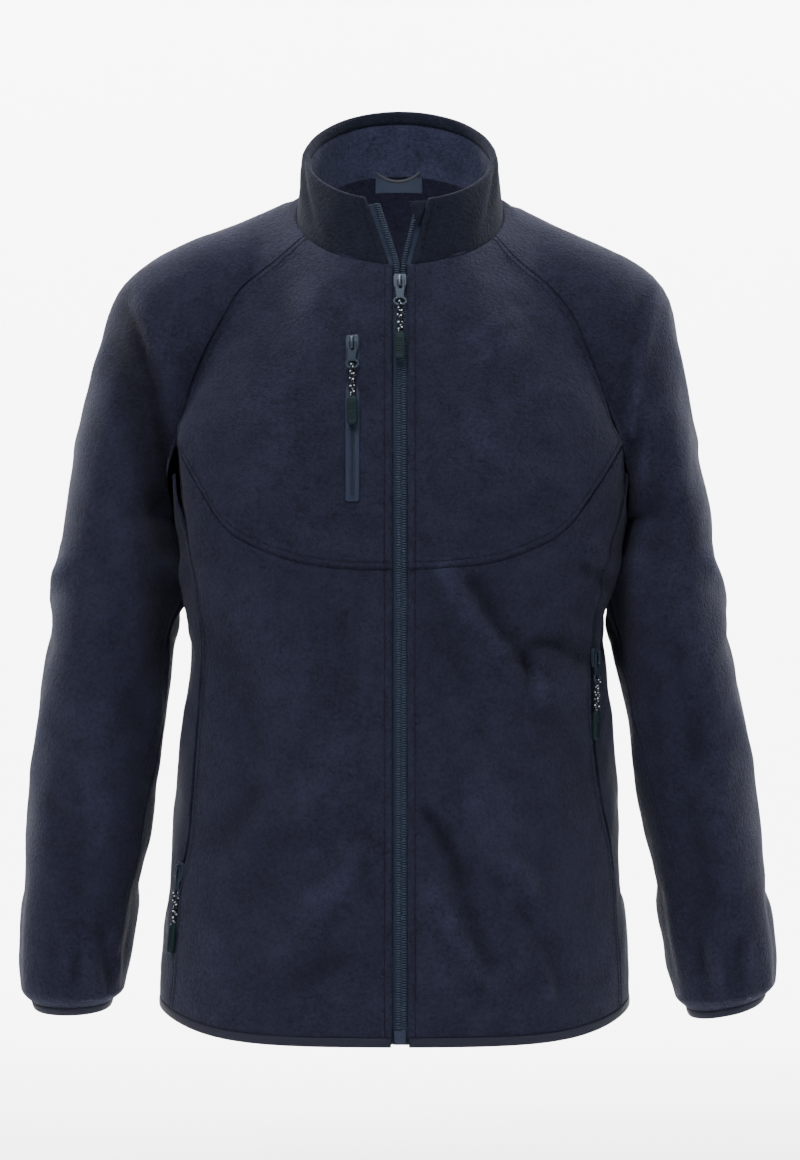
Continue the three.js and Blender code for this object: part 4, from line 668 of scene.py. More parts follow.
def swell(x, y, z):
    """Slow waves over the whole cloth: a sum of sines of the distance along each one's direction."""
    high = np.zeros_like(x)
    for long, turn, phase, up in zip(*SWELL.values()):
        c, s = np.cos(2 * pi * turn), np.sin(2 * pi * turn)
        high += up * np.sin(2 * pi * ((x * c + z * s + 0.6 * y * (c - s)) / long + phase))
    return high


print("folds drawn by hand, front, back and side:",
      *(len(folds["x0"]) for folds in (FRONT_FOLDS, BACK_FOLDS, SIDE_FOLDS)))

# %% [markdown]
# ## From a grid of points to a layer of cloth
#
# Every panel is a grid of points. The steps between them are short beside a seam, where the
# cloth rolls down into the seam and rises over the allowance behind it, and longer in the open
# cloth. Moving the points along their normals makes the folds; moving them once more makes the
# seams. The inner face is the same grid, one wall thickness further in.

# %% Cloth from grids
EDGE_STEPS = np.array([0, 0.45, 0.95, 1.5, 2.1, 2.8, 3.6, 4.4, 5.0, 5.6, 6.2, 7.0, 8.2, 10.0])
CLOTH_STEP = 4.0       # distance between points in open cloth, mm


def places(long, start=True, end=True):
    """Shares from 0 to 1 along a line of that length, close together at the seams."""
    head = EDGE_STEPS if start else EDGE_STEPS[:1]
    tail = long - (EDGE_STEPS if end else EDGE_STEPS[:1])[::-1]
    count = max(int((tail[0] - head[-1]) / CLOTH_STEP), 2)
    middle = np.linspace(head[-1], tail[0], count + 1)[1:-1]
    return np.concatenate([head, middle, tail]) / long


def grid_normals(grid, towards):
    """Unit normals from the neighbours in both directions, turned so that the middle faces towards."""
    def across(axis):
        """From the point before to the point after, along one direction."""
        step = np.roll(grid, -1, axis) - np.roll(grid, 1, axis)
        first, last = [slice(None)] * 3, [slice(None)] * 3
        first[axis], last[axis] = 0, -1
        second, before = list(first), list(last)
        second[axis], before[axis] = 1, -2
        step[tuple(first)] = grid[tuple(second)] - grid[tuple(first)]
        step[tuple(last)] = grid[tuple(last)] - grid[tuple(before)]
        return step
    n = unit(np.cross(across(1), across(0)))
    middle = n[n.shape[0] // 2, n.shape[1] // 2]
    return n if middle @ np.array(towards, float) > 0 else -n


SEAM_ROWS, LOW_ROWS = 12, 6   # rows at the long seams, and at the lower edge, that share one normal


def panel_normals(grid, towards):
    """The same for a panel, whose border rows lie too close together to give normals of their own."""
    n = grid_normals(grid, towards)
    n[-LOW_ROWS:] = n[-LOW_ROWS - 1]
    n[:, :SEAM_ROWS] = n[:, SEAM_ROWS:SEAM_ROWS + 1]
    n[:, -SEAM_ROWS:] = n[:, -SEAM_ROWS - 1:-SEAM_ROWS]
    return n


def from_border(grid, border):
    """Distance of every point from one border, along the grid's own lines."""
    axis = 0 if border in ("top", "bottom") else 1
    flip = border in ("bottom", "outer")
    g = np.flip(grid, axis) if flip else grid
    step = np.linalg.norm(np.diff(g, axis=axis), axis=-1)
    start = np.zeros_like(np.take(step, [0], axis))
    d = np.concatenate([start, np.cumsum(step, axis=axis)], axis=axis)
    return np.flip(d, axis) if flip else d


STITCH_NEAR, STITCH_FAR = 1.4, 6.0   # the two rows of a topstitched seam, from the seam
ZIP_STITCH = 6.0                     # the row beside the front zip


def seam_relief(d, kind):
    """Height of the cloth's face at distance d from a seam: bells for grooves, steps for allowances."""
    roll = -0.75 * bell(d, 0, 0.5)
    if kind == "welt":
        raised = 0.55 * (smooth(d, 0.2, 1.2) - smooth(d, 6.2, 9.0))
        return roll + raised - 0.3 * bell(d, STITCH_NEAR, 0.5) - 0.5 * bell(d, STITCH_FAR, 0.7)
    if kind == "zip":
        raised = 0.7 * (smooth(d, 0.2, 1.6) - smooth(d, 6.5, 10.0))
        return -1.0 * bell(d, 0, 0.9) + raised - 0.95 * bell(d, ZIP_STITCH, 0.9)
    if kind == "neck":
        return -0.9 * bell(d, 0, 1.4)
    if kind == "bound":
        return -0.9 * bell(d, 0, 1.5)
    return roll


OBJECTS = {}


def new_mesh(name, points, faces, uv=None):
    """A mesh from arrays: points in mm, faces with the same number of corners each."""
    faces = np.asarray(faces, np.int32)
    mesh = bpy.data.meshes.new(name)
    mesh.vertices.add(len(points))
    mesh.vertices.foreach_set("co", (np.asarray(points, float) * MM).ravel())
    mesh.loops.add(faces.size)
    mesh.loops.foreach_set("vertex_index", faces.ravel())
    mesh.polygons.add(len(faces))
    mesh.polygons.foreach_set("loop_start", np.arange(len(faces), dtype=np.int32) * faces.shape[1])
    mesh.polygons.foreach_set("use_smooth", np.ones(len(faces), bool))
    if uv is not None:
        layer = mesh.uv_layers.new(name="cloth")
        layer.data.foreach_set("uv", (np.asarray(uv, float) * MM)[faces.ravel()].ravel())
    mesh.update(calc_edges=True)
    mesh.validate()
    obj = bpy.data.objects.new(name, mesh)
    bpy.context.scene.collection.objects.link(obj)
    OBJECTS[name] = obj
    return obj


def outward(points, faces):
    """Turns all faces about if the body they enclose comes out with a volume below zero."""
    p, f = np.asarray(points, float), np.asarray(faces)
    a, b, c = p[f[:, 0]], p[f[:, 1]], p[f[:, 2]]
    total = np.einsum("ij,ij->i", a, np.cross(b, c)).sum()
    if f.shape[1] == 4:
        total += np.einsum("ij,ij->i", a, np.cross(c, p[f[:, 3]])).sum()
    return f if total > 0 else f[:, ::-1]


def quads_of(at):
    """The faces of a grid, from the numbers of its points: each has four neighbouring points."""
    return np.stack([at[:-1, :-1], at[:-1, 1:], at[1:, 1:], at[1:, :-1]], -1).reshape(-1, 4)


def layer_between(name, outer, inner):
    """A closed body between two grids of the same size, with faces round all four borders."""
    rows, cols = outer.shape[:2]
    at = np.arange(2 * rows * cols).reshape(2, rows, cols)
    quads = []

    def add(a, b, c, d):
        """Faces from four rows of corners."""
        quads.append(np.stack([a.ravel(), b.ravel(), c.ravel(), d.ravel()], -1))
    o, i = at[0], at[1]
    add(o[:-1, :-1], o[:-1, 1:], o[1:, 1:], o[1:, :-1])
    add(i[:-1, :-1], i[1:, :-1], i[1:, 1:], i[:-1, 1:])
    add(o[0, :-1], i[0, :-1], i[0, 1:], o[0, 1:])
    add(o[-1, :-1], o[-1, 1:], i[-1, 1:], i[-1, :-1])
    add(o[:-1, 0], o[1:, 0], i[1:, 0], i[:-1, 0])
    add(o[:-1, -1], i[:-1, -1], i[1:, -1], o[1:, -1])
    points = np.concatenate([outer.reshape(-1, 3), inner.reshape(-1, 3)])
    faces = outward(points, np.concatenate(quads))
    across = np.concatenate([np.zeros((rows, 1)),
                             np.cumsum(np.linalg.norm(np.diff(outer, axis=1), axis=-1), 1)], 1)
    down = np.concatenate([np.zeros((1, cols)),
                           np.cumsum(np.linalg.norm(np.diff(outer, axis=0), axis=-1), 0)], 0)
    flat = np.stack([across, down], -1).reshape(-1, 2)
    return new_mesh(name, points, faces, uv=np.concatenate([flat, flat]))


# Zip, collar and bindings hold the cloth even: the share of the folds that is left beside them,
# and how far their hold reaches.
ZIP_CALM, ZIP_REACH = 0.15, 22
NECK_REACH = 28
BINDING_CALM, BINDING_REACH = 0.1, (-658, -630)


def folded(grid, towards):
    """The grid moved along its normals by folds and swell, and the height of the folds alone."""
    n = panel_normals(grid, towards)
    x, y, z = grid[..., 0], grid[..., 1], grid[..., 2]
    high = (smooth(-n[..., 1], 0.05, 0.6) * fold_height(FRONT_FOLDS, x, z)
            + smooth(n[..., 1], 0.05, 0.6) * fold_height(BACK_FOLDS, x, z)
            + smooth(np.abs(n[..., 0]), 0.5, 0.95) * fold_height(SIDE_FOLDS, y, z))
    calm = mix(ZIP_CALM, 1, smooth(np.abs(x), ZIP_HALF, ZIP_REACH))
    below_neck = NECK["front_z"] + NECK["lean"] * (y - NECK["mid_y"] + NECK["deep"]) - z
    calm = calm * smooth(below_neck, 0, NECK_REACH)
    calm = calm * mix(BINDING_CALM, 1, smooth(z, *BINDING_REACH))
    return grid + n * ((high + swell(x, y, z)) * calm)[..., None], high * calm


FOLD_SHADE_PER_MM = 0.085     # painted shade and light: change of the cloth's tone for each mm of a fold's height
FOLD_SHADE_DARKEST, FOLD_LIGHT_PALEST = -0.62, 0.4   # and its limits
ALLOWANCE = 1.6        # how far the sleeve's inner face goes on past its seams
SKINS = {}             # the finished outer face of each panel, for the sewing
BASES = {}             # its folded grid before the seams, for the bindings


def sewn_panel(name, grid, towards, seams):
    """Folds a panel, shapes its seams and closes it with its inner face."""
    base, fold = folded(grid, towards)
    n = panel_normals(base, towards)
    high = sum(seam_relief(from_border(base, border), kind) for border, kind in seams.items())
    outer = base + n * high[..., None]
    inner = base - n * WALL
    if name.startswith("sleeve"):
        # the seam allowance goes on behind the body panels and keeps the raglan seam closed
        inner[:, 0] += ALLOWANCE * unit(base[:, 0] - base[:, SEAM_ROWS])
        inner[:, -1] += ALLOWANCE * unit(base[:, -1] - base[:, -SEAM_ROWS - 1])
    SKINS[name], BASES[name] = (outer, n), base
    obj = layer_between(name, outer, inner)
    # painted shade in a fold's hollow and painted light on its ridge: the cloth's tone follows the fold's
    # height
    painted_fold_tone = np.clip(fold * FOLD_SHADE_PER_MM, FOLD_SHADE_DARKEST, FOLD_LIGHT_PALEST).ravel()
    fold_shade = np.concatenate([painted_fold_tone, np.zeros(painted_fold_tone.size)])
    obj.data.attributes.new("fold_shade", "FLOAT", "POINT").data.foreach_set("value", fold_shade)
    return obj


print("steps from one seam to the next over 200 mm:", len(places(200)))

# %% [markdown]
# ## The nine cloth panels
#
# The allowances of the raglan, chest and side seams are turned to the body side and stitched
# down twice, so the body panels carry a raised welt along these seams. Where a hand pocket lies
# in the side seam, the front's border and the side panel's border part by a few millimetres.

# %% Panels
# A hand pocket's upper and lower end, and how far each of its borders stands open.
POCKET = {"right": {"top": -372.0, "bottom": -556.0, "open": 2.4},
          "left": {"top": -366.0, "bottom": -552.0, "open": 2.4}}


def pocket_open(grid, border, side):
    """Moves the border of a panel away from the seam along the hand pocket; the move fades inwards."""
    top, bottom, wide = (POCKET[side][k] for k in ("top", "bottom", "open"))
    d = from_border(grid, border)
    edge = grid[:, -1:] if border == "outer" else grid[:, :1]
    inward = unit((grid[:, -2:-1] if border == "outer" else grid[:, 1:2]) - edge)
    share = smooth(edge[..., 2], bottom, bottom + 8) * (1 - smooth(edge[..., 2], top - 8, top))
    return grid + inward * (wide * share * np.clip(1 - d / 14, 0, 1) ** 2)[..., None]


FRONT_SEAMS = {"top": "sunk", "bottom": "bound", "inner": "zip", "outer": "welt"}
for side, sign in SIGN.items():
    sewn_panel(f"chest_{side}", chest_grid(side, places(150), places(240)), (0, -1, 0),
               {"top": "neck", "bottom": "welt", "inner": "zip", "outer": "welt"})
    front = front_grid(side, places(180), places(380))
    sewn_panel(f"front_{side}", pocket_open(front, "outer", side), (0, -1, 0), FRONT_SEAMS)
    panel = side_grid(side, places(170), places(430))
    sewn_panel(f"side_{side}", pocket_open(panel, "inner", side), (sign, 0, 0),
               {"top": "sunk", "bottom": "bound", "inner": "sunk", "outer": "sunk"})
    w = places(300)
    upper = sleeve_upper(side, places(250, end=False) * RAGLAN_STEPS, w)
    lower = sleeve_lower(side, places(420, start=False)[1:], w)
    sewn_panel(f"sleeve_{side}", np.concatenate([upper, lower]), (sign, 0, 0),
               {"top": "neck", "bottom": "bound", "inner": "sunk", "outer": "sunk"})
sewn_panel("back", back_grid(places(360), places(690)), (0, 1, 0),
           {"top": "neck", "bottom": "bound", "inner": "welt", "outer": "welt"})
for name, (outer, _) in SKINS.items():
    size = [round(float(v)) for v in outer.max((0, 1)) - outer.min((0, 1))]
    print(name, "points", outer.shape[:2], "spans, mm", size)

# %% [markdown]
# ## The collar
#
# The collar is a double stand: an outer layer that rolls over the rim and an inner layer joined
# to it a centimetre further down. Its frame follows the neck seam from the wearer's right front
# edge, u = 0, round the back to the left one, u = 1. A few short hollows press into it where the
# stand bends sharply at the sides of the neck.

# %% Collar
COLLAR_HALF = 2.9      # from the middle of the double collar to its outer face
COLLAR_SKIN = 2.55     # thickness of one of its two layers
ROLL_DOWN = 11         # how far the outer layer turns down inside the rim
EDGE_HIGH = {"right": 28, "left": 23}
# Hollows of the stand: place round the collar, lean of the line, height of its middle in mm,
# half length, half width and height.
COLLAR_FOLDS = table("u lean h long wide high",
                     (0.17, 0.055, 40, 26, 0.016, -2.2), (0.215, 0.03, 46, 22, 0.014, 1.5),
                     (0.12, 0.02, 30, 20, 0.02, 0.9), (0.29, -0.03, 36, 24, 0.02, -1.1),
                     (0.83, -0.06, 42, 24, 0.015, -2.4), (0.79, -0.04, 48, 22, 0.013, 1.4),
                     (0.875, -0.02, 30, 22, 0.02, 1.0), (0.71, 0.03, 36, 24, 0.02, -1.0),
                     (0.42, 0.02, 40, 26, 0.022, 0.8), (0.56, -0.03, 38, 28, 0.022, -0.8))


def collar_frame(u):
    """Foot point, up, outward and along directions and height of the stand at the shares u."""
    low = turn_of(NECK, EDGE_LOW, False)
    high = {side: turn_of(RIM, EDGE_HIGH[side], False) for side in SIGN}
    foot = ring_point(NECK, mix(-low, low, u))
    head = ring_point(RIM, mix(-high["right"], high["left"], u))
    ahead, behind = ring_point(NECK, mix(-low, low, u + 0.01)), ring_point(NECK, mix(-low, low, u - 0.01))
    tall = np.linalg.norm(head - foot, axis=-1)
    up, along = unit(head - foot), unit(ahead - behind)
    out = unit(np.cross(up, along))
    away = foot - [0, NECK["mid_y"], 0]
    away[:, 2] = 0
    out *= np.sign((out * away).sum(-1, keepdims=True))
    return {"foot": foot, "up": up, "out": out, "tall": tall, "u": u}


def collar_bend(u, h):
    """Height of the stand's hollows and of a very slight waviness."""
    high = 0.25 * np.sin(2 * pi * (u * 9 + h / 70))
    for u0, lean, h0, long, wide, up in zip(*COLLAR_FOLDS.values()):
        centre = u0 + lean * (h - h0) / 40
        high = high + up * np.exp(-((u - centre) / wide) ** 2 - ((h - h0) / long) ** 2)
    return high * smooth(np.minimum(u, 1 - u), 0.02, 0.1) * smooth(h, 0, 16)


def on_collar(f, h, o):
    """Points at height h above the neck seam and o outwards from the stand's middle."""
    h, o = np.broadcast_arrays(h, o)
    bend = collar_bend(f["u"], h) if h.ndim == 1 else collar_bend(f["u"][:, None], h)
    if h.ndim == 1:
        return f["foot"] + f["up"] * h[:, None] + f["out"] * (o + bend - COLLAR_HALF)[:, None]
    return (f["foot"][:, None] + f["up"][:, None] * h[..., None]
            + f["out"][:, None] * (o + bend - COLLAR_HALF)[..., None])


def tube(name, rings, uv=None):
    """A closed body from rows of points; each row is a loop, and strips across close both ends."""
    rows, count = rings.shape[:2]
    at = np.arange(rows * count).reshape(rows, count)
    at = np.concatenate([at, at[:, :1]], 1)
    quads = quads_of(at)
    points = rings.reshape(-1, 3)
    half = count // 2
    k = np.arange(half - 1)
    caps = []
    for row, flip in ((at[0], True), (at[-1], False)):
        low, high = row[:count][k], row[:count][count - 1 - k]
        low2, high2 = row[:count][k + 1], row[:count][count - 2 - k]
        cap = np.stack([low, low2, high2, high], -1)
        caps.append(cap[:, ::-1] if flip else cap)
    faces = outward(points, np.concatenate([quads, *caps]))
    return new_mesh(name, points, faces, uv)


def outer_profile(f):
    """Heights and offsets of the collar's outer layer, out of the neck seam, over the rim and in."""
    tall = f["tall"][:, None]
    top, low = tall - COLLAR_HALF, tall - ROLL_DOWN
    seam = np.array([0, 0.6, 1.4, 2.6])[None]
    face = np.linspace(0, 1, 16)[1:-1][None] * (top - 5) + 4
    turn = pi * np.linspace(0, 1, 13)[None]
    inside = np.array([5.0, 3.2, 1.8, 0.8, 0.0])[None]
    skin = COLLAR_SKIN - COLLAR_HALF
    rows = [(FOOT_OUT, COLLAR_HALF - 2.0), (1.8 * seam - 2.4, COLLAR_HALF + seam_relief(seam, "neck")),
            (face, COLLAR_HALF), (top + COLLAR_HALF * np.sin(turn), COLLAR_HALF * np.cos(turn)),
            (low + inside, 1.1 * bell(inside, 0, 1.4) - COLLAR_HALF), (low + 0.2, skin), (low + 3, skin),
            (top - 1, skin), (top - 1, -skin), (FOOT_OUT, -skin)]
    spread = [np.broadcast_arrays(h + 0 * tall, o + 0 * tall) for h, o in rows]
    return tuple(np.concatenate(part, 1) for part in zip(*spread))


def inner_profile(f):
    """Heights and offsets of the collar's inner layer, from its foot up to the outer layer's edge."""
    end = f["tall"][:, None] - ROLL_DOWN - SEAM_GAP
    share = np.concatenate([[0, 0.02], np.linspace(0.06, 0.9, 12), [0.95, 0.98, 1]])[None]
    skin = COLLAR_SKIN - COLLAR_HALF
    rows = [(FOOT_IN + share * (end - FOOT_IN), 0.9 * bell((1 - share) * 40, 0, 1.4) - COLLAR_HALF),
            (end, skin), (end / 2, skin), (FOOT_IN, skin)]
    spread = [np.broadcast_arrays(h + 0 * end, o + 0 * end) for h, o in rows]
    return tuple(np.concatenate(part, 1) for part in zip(*spread))


FOOT_OUT = -4.5        # both layers reach below the neck seam, over its allowance
FOOT_IN = -7.0
COLLAR_LONG = 420      # the neck seam's length
COLLAR_U = places(COLLAR_LONG)
stand = collar_frame(COLLAR_U)
h, o = outer_profile(stand)
# beside the front edges the cloth rises over the tape's allowance and is stitched down
d_edge = np.minimum(COLLAR_U, 1 - COLLAR_U) * COLLAR_LONG
o = np.where(o > 0.5, o + seam_relief(d_edge, "zip")[:, None] * np.clip(o / COLLAR_HALF, 0, 1), o)
tube("collar_outer", on_collar(stand, h, o))
tube("collar_inner", on_collar(stand, *inner_profile(stand)))
print("collar heights, mm: back", stand["tall"].max().round(1), "front", stand["tall"].min().round(1))

# %% [markdown]
# ## Bindings
#
# Hem and cuffs end in a narrow band of stretch jersey, folded round the raw edge. Its section is
# a small rounded loop, carried along the cloth's lower edge.

# %% Bindings
LAP = 1.6              # how far a binding laps over the cloth


def band(name, path, outs, downs, high, closed=False):
    """A rounded loop of cloth round an edge: outs point away from the garment, downs past the edge."""
    t = np.linspace(0, 2 * pi, 20, endpoint=False)
    thick = WALL + 1.1
    across = signed_power(np.cos(t), 0.62) * (thick / 2) - WALL / 2 + 0.1
    past = mix(-LAP, SEAM_GAP + high, 0.5 - 0.5 * signed_power(np.sin(t), 0.62))
    past = past + 0.25 * np.cos(t) * np.exp(-((past - 1.5) / 0.6) ** 2)
    rings = path[:, None] + outs[:, None] * across[None, :, None] + downs[:, None] * past[None, :, None]
    return ring_band(name, rings) if closed else tube(name, rings)


def ring_band(name, rings):
    """A band whose ends meet: rows and loops both close."""
    rows, count = rings.shape[:2]
    at = np.arange(rows * count).reshape(rows, count)
    at = np.concatenate([at, at[:1]], 0)
    at = np.concatenate([at, at[:, :1]], 1)
    points = rings.reshape(-1, 3)
    return new_mesh(name, points, outward(points, quads_of(at)))


def lower_border(name, flip=False):
    """A panel's lower edge without its corners, where the steps are too short."""
    last = BASES[name][-1][2:-2]
    return last[::-1] if flip else last


def even_path(path, step):
    """The same line with its points at equal steps."""
    s = lengths_along(path)
    return at_length(np.linspace(0, s[-1], max(int(s[-1] / step), 2) + 1), s, path)


def evened(lines, times):
    """Every inner point moved to the mean of itself, twice, and its two neighbours."""
    for _ in range(times):
        lines[1:-1] = (lines[:-2] + 2 * lines[1:-1] + lines[2:]) / 4
    return lines


HEM_STEP = 3.5
hem_line = evened(even_path(np.concatenate([
    lower_border("front_right"), lower_border("side_right"), lower_border("back"),
    lower_border("side_left", True), lower_border("front_left", True)]), HEM_STEP), 4)
around = np.gradient(hem_line, axis=0)
hem_out = unit(np.stack([around[:, 1], -around[:, 0], 0 * around[:, 0]], -1))
facing = (hem_out[:, :2] * hem_line[:, :2]).sum(-1)
hem_out *= np.sign(facing)[:, None]
for _ in range(6):
    hem_out[1:-1] = unit(hem_out[:-2] + 2 * hem_out[1:-1] + hem_out[2:])
down = np.tile([0.0, 0.0, -1.0], (len(hem_line), 1))
band("hem_binding", hem_line, hem_out, down, BAND_HIGH)
print("hem, mm round:", round(float(lengths_along(hem_line)[-1])))
for side in SIGN:
    base = BASES[f"sleeve_{side}"]
    last = base[-1][:-1]
    along = unit(base[-1] - base[-4])[:-1]
    out = SKINS[f"sleeve_{side}"][1][-1][:-1]
    band(f"cuff_binding_{side}", last, out, along, CUFF_BAND, closed=True)
    print(side, "cuff, mm round:", round(float(lengths_along(last)[-1])))

# %% [markdown]
# ## Zips
#
# A coil zip is a nylon spiral sewn along the edge of a woven tape. Closed, the two spirals hook
# into each other, half a pitch apart. Each turn of the spiral is drawn here as one small rounded
# bead across the tape, and one bead is copied to many frames: a place and three directions.

# %% Beads and tapes
COIL_PITCH = 2.0       # from one turn of the coil to the next
TOOTH_LONG = 4.3       # a turn's length across the tape
BEAD_IN = 1.5          # how deep the closed coil lies below the cloth's face


def bead(long, wide, high):
    """A rounded bead of six-sided rings, lying along x, with its middle at the origin."""
    x = np.array([-0.5, -0.42, 0.0, 0.42, 0.5]) * long
    r = np.array([0.35, 0.9, 1.0, 0.9, 0.35])
    t = np.arange(6) / 6 * 2 * pi
    rings = point(x[:, None], r[:, None] * np.cos(t) * wide / 2, r[:, None] * np.sin(t) * high / 2)
    at = np.arange(30).reshape(5, 6)
    at = np.concatenate([at, at[:, :1]], 1)
    caps = [[0, 5, 4, 3], [0, 3, 2, 1], [24, 25, 26, 27], [24, 27, 28, 29]]
    points = rings.reshape(-1, 3)
    return points, outward(points, np.concatenate([quads_of(at), np.array(caps)]))


def copies(name, shape, origin, across, up, out):
    """Copies of a small shape in many frames, as one mesh."""
    points, faces = shape
    whole = (origin[:, None] + points[None, :, :1] * across[:, None]
             + points[None, :, 1:2] * up[:, None] + points[None, :, 2:] * out[:, None])
    index = faces[None] + (np.arange(len(origin)) * len(points))[:, None, None]
    return new_mesh(name, whole.reshape(-1, 3), index.reshape(-1, faces.shape[1]))


def frames_on(path, outs, step, start=0.0):
    """Evenly spaced frames along a line: place, across, up along the line, and out."""
    s = lengths_along(path)
    at = np.arange(start, s[-1], step)
    out = unit(at_length(at, s, outs))
    up = unit(at_length(at + 0.2, s, path) - at_length(at - 0.2, s, path))
    across = unit(np.cross(up, out))
    return at_length(at, s, path), across, up, unit(np.cross(across, up))


print("one bead of a coil has", len(bead(TOOTH_LONG, 1, 1)[1]), "faces")


def front_out(x, z):
    """Outward direction of the front, from its slopes between places e to each side."""
    e = 1.5
    dx = (front_y(x + e, z) - front_y(x - e, z)) / (2 * e)
    dz = (front_y(x, z + e) - front_y(x, z - e)) / (2 * e)
    return unit(point(dx, -1.0, dz))


# %% [markdown]
# ### The front zip
#
# Below the slider both tapes lie side by side behind the cloth's edges. Above it they part and
# follow the edges of the collar; the V stays open, as in the photo. One line of points, from the
# hem to the rim, carries tape and coil on each side.

# %% Front zip
TAPE_END = -668.0      # the coils' lower end
TAPE_LOW = -680.0      # the tapes reach behind the box
ZIP_ASIDE = 1.2        # the closed coil lies a little to the wearer's left of the middle
TAPE_FREE = 8.0        # width of tape beside the collar's edge
closed_z = np.linspace(TAPE_END, ZIP_TOP + 3, 150)
for side, sign in SIGN.items():
    aside = ZIP_ASIDE * smooth(ZIP_TOP - closed_z, 12, 40) + sign * 0.2
    foot = point(aside, front_y(aside, closed_z), closed_z)
    out_low = front_out(aside, closed_z)
    t = np.linspace(0.06, 0.965, 40)
    f = collar_frame(np.full_like(t, 1.0 if side == "left" else 0.0))
    edge = f["foot"] + f["up"] * (t * (f["tall"] - 4))[:, None] - f["out"] * COLLAR_HALF
    wide = mix(EDGE_LOW - 1.6, TAPE_FREE, t) + 0.8
    free = edge - np.array([sign, 0, 0]) * wide[:, None]
    axis = np.concatenate([foot, free + f["out"] * 0.9])
    outs = np.concatenate([out_low, f["out"]])
    deep = np.concatenate([np.full(len(foot), BEAD_IN), np.zeros(len(free))])
    blend = np.exp(-((np.arange(len(axis)) - len(foot)) / 5.0) ** 2)
    for _ in range(12):
        axis = mix(axis, evened(axis.copy(), 1), blend[:, None])
    axis = axis - outs * deep[:, None]
    across = np.tile([sign * 1.0, 0.0, 0.0], (len(axis), 1))
    across = unit(across - outs * (across * outs).sum(-1, keepdims=True))
    # the woven tape: from the coil's free edge to its hidden edge behind the cloth
    hidden = np.concatenate([mix(12.5, 6.5, smooth(closed_z, ZIP_TOP - 25, ZIP_TOP)), wide + 1.5])
    share = np.array([-0.12 if side == "right" else 0.0, 0.06, 0.3, 0.42, 0.5, 0.75, 1.0])
    sink = np.array([1.1 if side == "right" else 0.0, 0, 0, 0.5, 1.5, 1.7, 1.7])
    sink_scale = np.concatenate([np.ones(len(foot)), np.full(len(free), 0.35)])
    face = (axis[:, None] + across[:, None] * (share[None, :, None] * hidden[:, None, None])
            - outs[:, None] * (0.4 + sink[None, :, None] * sink_scale[:, None, None]))
    foot_row = face[:1] + np.array([0, 0, TAPE_LOW - TAPE_END])
    face, face_out = np.concatenate([foot_row, face]), np.concatenate([outs[:1], outs])
    layer_between(f"front_tape_{side}", face, face - face_out[:, None] * 0.9)
    place, _, up, out = frames_on(axis, outs, COIL_PITCH, 0 if side == "left" else COIL_PITCH / 2)
    beads = np.arange(len(place))
    step = unit(at_length(beads, np.linspace(0, len(place) - 1, len(across)), across))
    middle = place + step * (TOOTH_LONG / 2 - 0.35) + out * 0.1
    copies(f"front_coil_{side}", bead(TOOTH_LONG, 1.25, 1.7), middle, step, up, out)
    print(side, "coil: turns", len(place))

# %% [markdown]
# The chest pocket's zip is set into a slot. Its tape is coated, a little lighter than the cloth,
# and shows as a plain strip with a fine line down its middle. The hand pockets' zips hide in the
# side seams: a tape with a coil behind the parted borders.

# %% Chest and hand pocket zips
CHEST_ZIP = {"x": -37.8, "half": 5.6, "top": -115.8, "bottom": -248.5, "lift": 0.35, "thick": 1.0}


def rounded_strip(x0, half, top, bottom, corner, rows=70, cols=13):
    """A grid of places inside a strip with rounded ends: narrower rows near both ends."""
    v = np.linspace(0, 1, rows)
    v = 0.5 - 0.5 * np.cos(pi * v) * (0.35 + 0.65 * np.abs(np.cos(pi * v)))
    z = mix(top, bottom, v)
    past = np.maximum(np.maximum(z - (top - corner), (bottom + corner) - z), 0)
    width = half - corner + np.sqrt(np.maximum(corner**2 - past**2, 0))
    u = np.linspace(-1, 1, cols)
    return x0 + u[None] * width[:, None], z[:, None] + 0 * u[None]


def lifted(x, z, high):
    """Places of the front view, laid on the front and raised from it."""
    return point(x, front_y(x, z), z) + front_out(x, z) * np.asarray(high)[..., None]


cz = CHEST_ZIP
x, z = rounded_strip(cz["x"], cz["half"], cz["top"], cz["bottom"], 2.2)
off = np.abs(x - cz["x"])
crown = cz["lift"] + 0.55 + 0.35 * np.exp(-((off - 3.9) / 0.7) ** 2) - 0.3 * np.exp(-(off / 0.5) ** 2)
layer_between("chest_tape", lifted(x, z, crown), lifted(x, z, 0.1))
z_line = np.arange(cz["top"] - 6, cz["bottom"] + 3, -1.35)
for name, shift in (("right", -1), ("left", 1)):
    x_line = np.full_like(z_line, cz["x"] + shift * 1.05)
    place, out = lifted(x_line, z_line, crown.max() - 0.1), front_out(x_line, z_line)
    up = unit(np.gradient(place, axis=0))
    place = place + (0.3 * (shift + 1)) * up
    copies(f"chest_coil_{name}", bead(1.9, 0.8, 0.6), place, unit(np.cross(up, out)), up, out)

for side, sign in SIGN.items():
    top, bottom = POCKET[side]["top"], POCKET[side]["bottom"]
    seam = side_seam(side, True, np.linspace(0, 1, 160))
    seam = seam[(seam[:, 2] < top + 26) & (seam[:, 2] > bottom - 26)]
    beside = BASES[f"front_{side}"][:, -1]
    n_front = SKINS[f"front_{side}"][1][:, -1]
    order = np.argsort(beside[:, 2])
    out = unit(at_length(seam[:, 2], beside[order, 2], n_front[order]) + [sign * 0.5, 0, 0])
    up = unit(np.gradient(seam, axis=0))
    flat = unit(np.cross(up, out))
    share = np.linspace(-1, 1, 9)
    deep = WALL + 0.4
    face = seam[:, None] + flat[:, None] * (share[None, :, None] * 5.2) - out[:, None] * deep
    layer_between(f"pocket_tape_{side}", face, face - out[:, None] * 0.9)
    place, across, up, out = frames_on(seam, out, 1.4)
    keep = (place[:, 2] < top - 3) & (place[:, 2] > bottom + 3)
    place = place - out * (deep - 0.6)
    copies(f"pocket_coil_{side}", bead(4.0, 1.0, 1.3), place[keep], across[keep], up[keep], out[keep])
    print(side, "hand pocket's coil: turns", int(keep.sum()))

